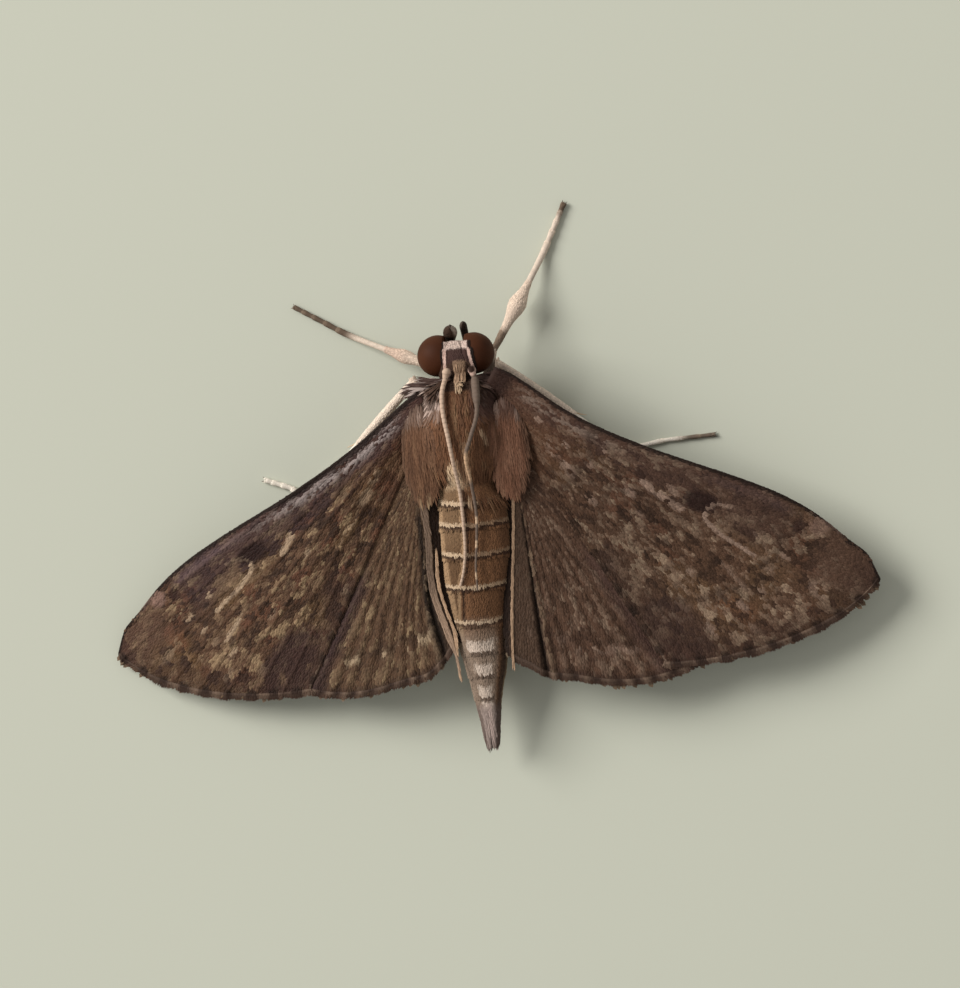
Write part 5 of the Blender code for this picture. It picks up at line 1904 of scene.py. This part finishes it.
y, turn, point, along, normal = trunk_spots((-4.04, -3.42), 0.034, 0.030, on_crest(0.0), rng)
off, _ = crest_place(point[:, 0], y)
colours = paint(plain(CREST_TONE, len(y)), "#b9a084", 0.8 * ease(-3.72, -3.62, y))
head_coat.add(point, unit(along + sideways(-1.2 * off)), normal, (0.24, 0.038), colours,
              trunk_map(y, turn, HEAD_Y), rng, lift=0.16, curl=0.10, loose=0.05)
# Longer scales bridge the neck, rising from the head to the collar
bridge_rng = np.random.default_rng(305)
y, turn, point, along, normal = trunk_spots((-3.80, -3.60), 0.030, 0.024, on_crest(0.01), bridge_rng)
off, _ = crest_place(point[:, 0], y)
rising = unit(np.column_stack([-0.4 * off, np.full(len(y), 1.0), np.full(len(y), 0.85)]))
colours = paint(plain(CREST_TONE, len(y)), "#b9a084", 0.8 * ease(-3.80, -3.66, y))
head_coat.add(point, rising, unit(np.cross(np.cross(rising, UP), rising)), (0.34, 0.038), colours,
              trunk_map(y, turn, HEAD_Y), bridge_rng, lift=0.02, curl=0.10, loose=0.05)
head_coat.make("head_scales", body_scale)

# %% [markdown]
# ## Hair of the thorax
#
# The thorax is furry: its scales are drawn out to hairs several times as long as those of the abdomen.
# They could be Blender's own hair, but that would not share the coat's colours and map, so they are the
# same closed vanes. They spread out over the gaps beside the neck and hang over the waist behind.

# %% Thorax: back, underside and shoulders
def on_thorax_back(y, turn, point):
    """The upper half of the thorax, but not the tan wedge at its end."""
    x = point[:, 0]
    beside_head = clear_of_eyes(point, 0.04) & ((y > -3.26) | (np.abs(x) > 0.35))
    return (np.sin(turn) > -0.2) & beside_head & ((y < -1.15) | (x < 0.08))


def on_shoulders(y, turn, point):
    """The sides of the thorax behind the head."""
    return (np.sin(turn) > -0.3) & (np.abs(point[:, 0]) > 0.34) & clear_of_eyes(point, 0.03)


thorax_coat = Coat()
lay_on_trunk(thorax_coat, THORAX_Y, (0.050, 0.038), on_thorax_back, (0.30, 0.040), 0.15, THORAX_Y, rng,
             lift=0.14, curl=0.12, loose=0.09, ragged=0.3)
lay_on_trunk(thorax_coat, THORAX_Y, (0.08, 0.07), lambda y, turn, point: np.sin(turn) <= -0.1,
             (0.30, 0.08), 0.0, THORAX_Y, rng, lift=0.14, curl=0.14, loose=0.12, ragged=0.3)
# Shoulders: hair that spreads outwards over the gap between the head and the root of the wing
y, turn, point, along, normal = trunk_spots((-3.60, -2.80), 0.036, 0.028, on_shoulders, rng)
outward = sideways(np.sign(point[:, 0]) * 1.2 * ease(0.3, 0.7, np.abs(point[:, 0])))
lie = unit(along * 0.8 + outward * (1.0 + 0.6 * ease(-3.35, -3.55, y))[:, None])
lie = unit(lie - normal * dot(lie, normal)[:, None] * 0.85)
thorax_coat.add(point, lie, normal, (0.46, 0.058), trunk_colours(y + 0.10, turn),
                trunk_map(y, turn, THORAX_Y), rng, lift=0.06, loose=0.06)
print("hairs on the back, the underside and the shoulders:", [len(batch) for batch in thorax_coat.points])

# %% Thorax: fans from the collar and loose hairs over the waist
FAN_HAIRS = 220
for label, side in SIDES.items():
    y, turn = rng.uniform(-3.66, -3.42, FAN_HAIRS), rng.uniform(0.05, 0.95, FAN_HAIRS)
    turn = turn if side > 0 else math.pi - turn
    point, along, normal = trunk_frame(y, turn)
    back, up = rng.uniform(-0.10, 0.35, FAN_HAIRS), rng.uniform(-0.15, 0.10, FAN_HAIRS)
    pale = rng.random(FAN_HAIRS) < of_side(label, 0.30, 0.06)
    colours = np.where(pale[:, None], linear("#a3948e"), linear("#45342f"))
    thorax_coat.add(point, unit(np.column_stack([np.full(FAN_HAIRS, side), back, up])), unit(normal + UP),
                    (0.62, 0.060), colours, trunk_map(y, turn, THORAX_Y), rng,
                    lift=0.02, curl=0.10, loose=0.10, ragged=0.25)


def over_waist(y, turn, point):
    """The back of the thorax, from which hairs hang over the waist beside the tan wedge."""
    before = y < -1.25 + 0.6 * ease(0.12, -0.05, point[:, 0])
    return (np.sin(turn) > 0.15) & before & (waist_wedge(point[:, 0], y + 0.45) < 0.5)


y, turn, point, along, normal = trunk_spots((-1.55, -0.62), 0.06, 0.045, over_waist, rng)
colours = paint(trunk_colours(y - 0.3, turn), WAIST_PALE, 0.95 * waist_wedge(point[:, 0], y + 0.2))
thorax_coat.add(point, along, normal, (0.50, 0.042), colours, trunk_map(y, turn, THORAX_Y), rng,
                curl=0.10, loose=0.11, ragged=0.35)
thorax_coat.make("thorax_hair", body_scale)

# %% Abdomen and tuft
abdomen_coat = Coat()
ABDOMEN_LIE = {"lift": 0.14, "curl": 0.08, "loose": 0.07, "ragged": 0.15}
lay_on_trunk(abdomen_coat, ABDOMEN_Y, (0.052, 0.040), lambda y, turn, point: np.sin(turn) > -0.15,
             (0.125, 0.052), 0.08, ABDOMEN_Y, rng, **ABDOMEN_LIE)
lay_on_trunk(abdomen_coat, ABDOMEN_Y, (0.085, 0.072), lambda y, turn, point: np.sin(turn) <= -0.15,
             (0.17, 0.09), 0.08, ABDOMEN_Y, rng, **ABDOMEN_LIE)
abdomen_coat.make("abdomen_scales", body_scale)

tuft_coat = Coat()
y, turn = trunk_places(TUFT_Y, 0.050, 0.045, rng)
point, along, normal = trunk_frame(y, turn)
fork = sideways(0.10 * np.sign(np.cos(turn)) * ease(5.0, 5.4, y))
tuft_coat.add(point, unit(along + fork), normal, (0.34, 0.045), trunk_colours(y + 0.2, turn),
              trunk_map(y, turn, TUFT_Y), rng, lift=0.08, curl=0.10, loose=0.06, ragged=0.25)
tuft_coat.make("tuft_hair", body_scale)

# %% [markdown]
# ## Shoulder shields
#
# The shields over the wing roots wear the longest hair, laid from the front to the back and fanning out
# a little, so that it hides the hinge. Their skin is already part of the body, and here they get a coat.

# %% Hair of the shoulder shields
TEGULA_TONES = {"left": ("#684a37", "#7a5c46", "#50382a"), "right": ("#74513f", "#8b6753", "#593e2f")}


def shield_colours(label, x, y):
    """Streaked brown, darker on the outer rim, grey in front, with a few pale hairs at the hind end."""
    base, light, dark = TEGULA_TONES[label]
    streak = noise(x * 11.0 + 60.0, y * 1.8 + 60.0, 81)
    colours = plain(base, len(x))
    paint(colours, light, 0.6 * ease(0.55, 0.85, streak))
    paint(colours, dark, 0.6 * ease(0.42, 0.18, streak))
    outer = ease(0.2, 0.6, (np.abs(x) - TEGULA_CENTRE[label][0]) / TEGULA_HALF[0])
    paint(colours, "#5b4537", 0.7 * ease(0.7, 1.0, tegula_reach(label, x, y)) * outer)
    front = ease(-2.55, -2.95, y)
    paint(colours, of_side(label, "#6f5c52", "#4b3831"), 0.75 * front)
    paint(colours, "#b39c90", of_side(label, 0.6, 0.35) * front * ease(0.55, 0.75, streak))
    pale_end = ease(-1.0, -0.7, y) * ease(0.5, 0.7, noise(x * 14.0 + 9.0, y * 0.5 + 9.0, 83))
    return paint(colours, "#b29878", 0.8 * pale_end * of_side(label, 1.0, 0.4))


shield_coat = Coat()
for label, side in SIDES.items():
    x, y = scattered((0.50, 1.70), (-3.20, -0.64), 0.036, 0.058, rng)
    x, y = picked(tegula_reach(label, side * x, y) < 1.0, side * x, y)

    def surface(y_at, x_at):
        return np.stack([x_at, y_at, tegula_height(label, x_at, y_at)], -1)

    point, along, normal = surface_frame(surface, y, x)
    fan = sideways(0.15 * (x - side * TEGULA_CENTRE[label][0]) / TEGULA_HALF[0])
    place = np.column_stack([(y + 3.3) / 3.0, (np.abs(x) - 0.50) / 1.20 * 0.49 + of_side(label, 0.0, 0.5)])
    shield_coat.add(point, unit(along + fan), facing(normal, UP, 1), (0.36, 0.044),
                    shield_colours(label, x, y), np.clip(place, 0, 1), rng, lift=0.07, loose=0.07, ragged=0.3)
shield_coat.make("shoulder_hair", body_scale)

# %% [markdown]
# ## Coats of legs and palps
#
# The legs wear short tight scales, cream on the shins and dark on the feet, with the swollen brush near
# the end of the fore shin a little looser. All six legs share one map, a strip for each leg.

# %% Scales on limbs
def tube_places(path, radius, step, arc_step, rng):
    """Places on a tube in rings: (index along the path, turn)."""
    lengths = run_along(path)
    index, turn, count = [], [], np.arange(len(path))
    for start in np.arange(step / 2, lengths[-1], step):
        at = np.interp(start, lengths, count)
        number = max(int(2 * math.pi * np.interp(at, count, radius) / arc_step), 5)
        shift = (rng.random(number) - 0.5) * step / lengths[-1] * len(path)
        index.append(np.clip(at + shift, 0, len(path) - 1.001))
        turn.append(ring(number, 0.5, rng))
    return np.concatenate(index), np.concatenate(turn)


def tube_frame_at(path, radius, index, turn, inset=0.0):
    """Surface point, direction along and outward normal of a tube at fractional indices."""
    along, beside, above = tube_frame(path)
    count = np.arange(len(path))
    middle, run, aside, over = (at_index(part, index) for part in (path, along, beside, above))
    outward = unit(np.cos(turn)[:, None] * aside + np.sin(turn)[:, None] * over)
    slope = np.gradient(radius) / np.linalg.norm(np.gradient(path, axis=0), axis=1)
    slope = np.interp(index, count, slope)[:, None]
    point = middle + outward * (np.interp(index, count, radius) - inset)[:, None]
    return point, unit(run + outward * slope), unit(outward - run * slope)


print("tubes to cover:", sum(len(tubes) for tubes in limbs.values()) + len(SIDES))

# %% Legs and palps
coat = Coat()
for strip, (name, tubes) in enumerate(limbs.items()):
    for part_index, (part, path, radius) in enumerate(tubes):
        foot = part == "tarsus"
        index, turn = tube_places(path, radius, 0.055 if foot else 0.060, 0.030 if foot else 0.040, rng)
        share = index / (len(path) - 1)
        point, run, outward = tube_frame_at(path, radius, index, turn, 0.012)
        low = point[:, 2] < 0.03
        outward[low, 2] = np.maximum(outward[low, 2], 0.0)
        outward = unit(outward + 1e-4 * UP)
        place = on_map((part_index + share) / 3.0, (strip + (turn / (2 * math.pi)) % 1.0) / 6.0)
        brush = 1.0 + 0.5 * ease(0.15, 0.3, radius.max() - FOOT_RADIUS) * (part == "tibia")
        size = (0.095, 0.036) if foot else (0.13 * brush, 0.048)
        coat.add(point, run, outward, size, limb_colours(name, part, share), place, rng,
                 lift=0.08 if foot else 0.11, curl=0.08, loose=0.08, ragged=0.15)
coat.make("leg_scales", body_scale)

coat = Coat()
for strip, label in enumerate(SIDES):
    path, radius = palp_path(label), palp_radius(label)
    index, turn = tube_places(path, radius, 0.036, 0.030, rng)
    share = index / (len(path) - 1)
    point, run, outward = tube_frame_at(path, radius, index, turn, 0.025)
    place = on_map(share, (strip + (turn / (2 * math.pi)) % 1.0) / 2.0)
    colours = palp_colours(label, share, -SIDES[label] * outward[:, 0])
    coat.add(point, run, outward, (0.10, 0.038), colours, place, rng, lift=0.10, curl=0.10, loose=0.08)
coat.make("palp_scales", body_scale)

# %% [markdown]
# ## Feelers, tongue, claws and spurs
#
# The feelers are threads of about fifty short joints, laid back over the body. Each is a round profile
# whose radius swells a little at every joint, carried along a smooth line that lies on the coat. The
# tongue is a flat spiral coiled under the face. Each foot ends in two small hooked claws, and the shins
# carry the paired spurs that most moths have.

# %% Feelers
FEELER_LINES = {
    "left": [(0.19, -3.82), (0.25, -3.56), (0.31, -3.20), (0.29, -2.72), (0.20, -2.10), (0.13, -1.32),
             (0.08, -0.60), (0.09, 0.54), (0.18, 1.17), (0.34, 1.66)],
    "right": [(-0.455, -3.83), (-0.53, -3.45), (-0.55, -2.70), (-0.36, -2.10), (-0.19, -1.62), (-0.22, -1.03),
              (-0.27, -0.20), (-0.22, 0.45), (-0.12, 1.20), (-0.10, 1.80)],
}
# The right feeler is the same cream as the left, painted dark as painted shade.
FEELER_COLOURS = {"left": "#c0a692", "right": "#6c5d53"}
FEELER_JOINT = 0.125                # mm


def smoothed(values, reach):
    """Running mean of values over as many neighbours on each side as reach says."""
    width = 2 * reach + 1
    return np.convolve(np.pad(values, reach, mode="edge"), np.ones(width) / width, mode="valid")


for label in SIDES:
    flat = through(FEELER_LINES[label], 40)
    z = back_height(flat[:, 0], flat[:, 1]) + 0.09
    z = np.maximum(smoothed(z, 30), z)
    z[:40] = np.maximum(z[:40], 2.86)
    line = np.column_stack([flat, smoothed(z, 8)])
    start = np.array([*SOCKETS[label], 2.66])
    line = np.vstack([straight(start, line[4], 8)[:-1], line[4:]])
    lengths = run_along(line)
    run = np.arange(0.0, lengths[-1], FEELER_JOINT / 6)
    path = at_index(line, np.interp(run, lengths, np.arange(len(line))))
    phase = (run / FEELER_JOINT) % 1.0
    thick, thin = of_side(label, (0.064, 0.032), (0.062, 0.024))
    joints = 0.93 + 0.09 * np.sin(math.pi * phase) ** 0.6
    radius = (thick + (thin - thick) * (run / run[-1]) ** 1.2) * joints
    radius = radius + 0.045 * bell(run - 0.16, 0.14)
    if label == "right":
        radius = radius + 0.045 * ease(0.35, 0.5, run) * ease(1.25, 0.95, run)
    radius[-1] *= 0.3
    points, faces = close_tube(tube_rings(path, radius, 14))
    tone = np.concatenate([np.repeat(phase, 14), [0.0, 0.0]])
    colours = plain(FEELER_COLOURS[label], len(points))
    if label == "right":            # its socket, a pale stretch over the thorax, pale joints further back, on top of the painted shade
        socket_away = np.hypot(points[:, 0] - SOCKETS[label][0], points[:, 1] - SOCKETS[label][1])
        paint(colours, SOCKET_RIM, ease(0.20, 0.14, socket_away))
        paint(colours, SOCKET_HOLE, ease(0.105, 0.085, socket_away))
        paint(colours, "#c3a182", ease(-1.8, -1.6, points[:, 1]) * ease(-0.9, -1.1, points[:, 1]))
        pale = np.abs(points[:, 1][:, None] - np.array([0.0, 0.6, 1.4])).min(axis=1)
        paint(colours, "#c9ad90", 0.9 * ease(0.12, 0.06, pale))
    paint(colours, "#5c4a3e", 0.35 * ease(0.22, 0.0, np.minimum(tone, 1.0 - tone)))
    made = add_piece(f"feeler_{label}", points, outwards(points, faces), body_scale, colours)
    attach(made, "root")
    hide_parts(f"antenna_{label}")
    print(f"feeler {label}: {lengths[-1]:.2f} mm, {int(lengths[-1] / FEELER_JOINT)} joints")

# %% Tongue
turns = np.linspace(0.0, 2.3 * 2 * math.pi, 150)
coil = 0.185 - 0.125 * turns / turns[-1]
path = np.column_stack([np.zeros(150), -4.24 - coil * np.cos(turns), 1.34 + coil * np.sin(turns)])
points, faces = close_tube(tube_rings(path, 0.034 - 0.014 * turns / turns[-1], 12))
colours = plain("#a5825c", len(points))
tongue = add_piece("tongue", points, outwards(points, faces), body_skin_finish, colours)
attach(tongue, "root")
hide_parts("proboscis")
print("tongue:", round(run_along(path)[-1], 2), "mm, in", 2.3, "turns")


# %% Claws and spurs
def thorn(start, direction, length, radius, bend):
    """A thin cone from start along direction, bent by a vector that grows with the square of the run."""
    t = np.linspace(0.0, 1.0, 7)[:, None]
    straight_run = unit(np.asarray(direction, float)) * length * t
    path = np.asarray(start) + straight_run + np.asarray(bend) * length * t ** 2
    return close_tube(tube_rings(path, radius * (1.0 - 0.85 * t[:, 0]), 8))


def thorn_pair(start, run, gap, spread, length, radius, droop):
    """Two thorns side by side, gap from the middle, that spread from the direction run and droop."""
    across = np.array([-run[1], run[0], 0.0])
    return [thorn(start + across * way * gap, run + across * way * spread, length, radius, [0, 0, -droop])
            for way in (-1.0, 1.0)]


SPUR_PLACES = {"fore": (), "midl": (0.97,), "hind": (0.60, 0.97)}       # shares of the shin
claws, spurs = [], []
for name, tubes in limbs.items():
    shin, foot = tubes[1][1], tubes[2][1]
    claws += thorn_pair(foot[-1], unit(foot[-1] - foot[-4]), 0.015, 0.55, 0.11, 0.015, 0.25)
    for place in SPUR_PLACES[name[:4]]:
        start = shin[0] + (shin[-1] - shin[0]) * place
        spurs += thorn_pair(start, unit(shin[-1] - shin[0]), 0.0, 0.45, 0.42, 0.035, 0.1)
points, faces = joined([(points, outwards(points, faces)) for points, faces in claws])
points[:, 2] = np.maximum(points[:, 2], FLOOR_GAP)
made = add_piece("claws", points, faces, eye_chitin)
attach(made, "root")
points, faces = joined([(points, outwards(points, faces)) for points, faces in spurs])
made = add_piece("spurs", points, faces, body_scale, plain("#cdb496", len(points)))
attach(made, "root")
print("claws and spurs:", len(claws), len(spurs))

# %% [markdown]
# ## Floor, light and camera
#
# The moth rests on a plain pale floor. One large soft lamp stands to its left and ahead, low enough to
# draw the ridge of the body and the pleats, and a pale sky fills the shadows. The camera looks down on
# its back, a little from its right side, from far enough off that the view is almost flat.

# %% Floor
card, _, shader, _ = new_finish("matt card, pale grey-green", 0.9, 0.2)
shader.inputs["Base Color"].default_value = (*linear("#c2c5b8"), 1.0)
bpy.ops.mesh.primitive_plane_add(size=4.0, location=(0.0, 0.0, 0.0))
floor = bpy.context.object
floor.name = "floor"
floor.data.materials.append(card)
print("floor:", floor.name, "of", card.name)

# %% Lamps and sky
scene = bpy.context.scene
scene.view_settings.view_transform = "Standard"
scene.view_settings.look = "None"


def soft_lamp(name, direction, distance, size, power, colour):
    """A square area lamp at a distance in a direction, facing the moth."""
    data = bpy.data.lights.new(name, "AREA")
    data.size, data.energy, data.color = size, power, colour
    lamp = bpy.data.objects.new(name, data)
    place = Vector(direction).normalized() * distance
    lamp.location = place
    lamp.rotation_euler = place.to_track_quat("Z", "Y").to_euler()
    scene.collection.objects.link(lamp)


soft_lamp("key", (0.75, -0.45, 0.62), 0.5, 0.26, 3.0, (1.0, 0.97, 0.92))
world = bpy.data.worlds.new("pale sky") if scene.world is None else scene.world
scene.world = world
world.use_nodes = True
background = next(n for n in world.node_tree.nodes if n.type == "BACKGROUND")
background.inputs["Color"].default_value = (1.0, 0.975, 0.93, 1.0)
background.inputs["Strength"].default_value = 0.40

# %% Camera
TILT = math.radians(8.0)            # to the moth's right
ROLL_COS, ROLL_SIN = 0.997, 0.078   # a roll of 4.5 degrees
CAMERA_DISTANCE = 100.0
AIM_RIGHT, AIM_UP = 2.0 / 39.0, 26.0 / 39.0         # mm by which the aim lies off a point of the back
across = np.array([math.cos(TILT), 0.0, math.sin(TILT)])
back = np.array([0.0, 1.0, 0.0])
towards_camera = np.array([-math.sin(TILT), 0.0, math.cos(TILT)])
right = -ROLL_COS * across + ROLL_SIN * back
down = ROLL_SIN * across + ROLL_COS * back
on_back = np.array([(0.08 - 1.5 * math.sin(TILT)) / math.cos(TILT), 0.0, 1.5])
target = on_back + right * AIM_RIGHT - down * AIM_UP
camera_data = bpy.data.cameras.new("camera")
camera_data.sensor_fit = "HORIZONTAL"
camera_data.sensor_width = 36.0
camera_data.lens = 146.25
camera_data.clip_start = 0.001
camera_data.clip_end = 50.0
camera = bpy.data.objects.new("camera", camera_data)
axes = Matrix((right, -down, towards_camera)).transposed().to_4x4()
seat = Vector(to_world(target + towards_camera * CAMERA_DISTANCE))
camera.matrix_world = Matrix.Translation(seat) @ axes
scene.collection.objects.link(camera)
scene.camera = camera
print("camera at, m:", [round(v, 4) for v in seat], "with a lens of", camera_data.lens, "mm")
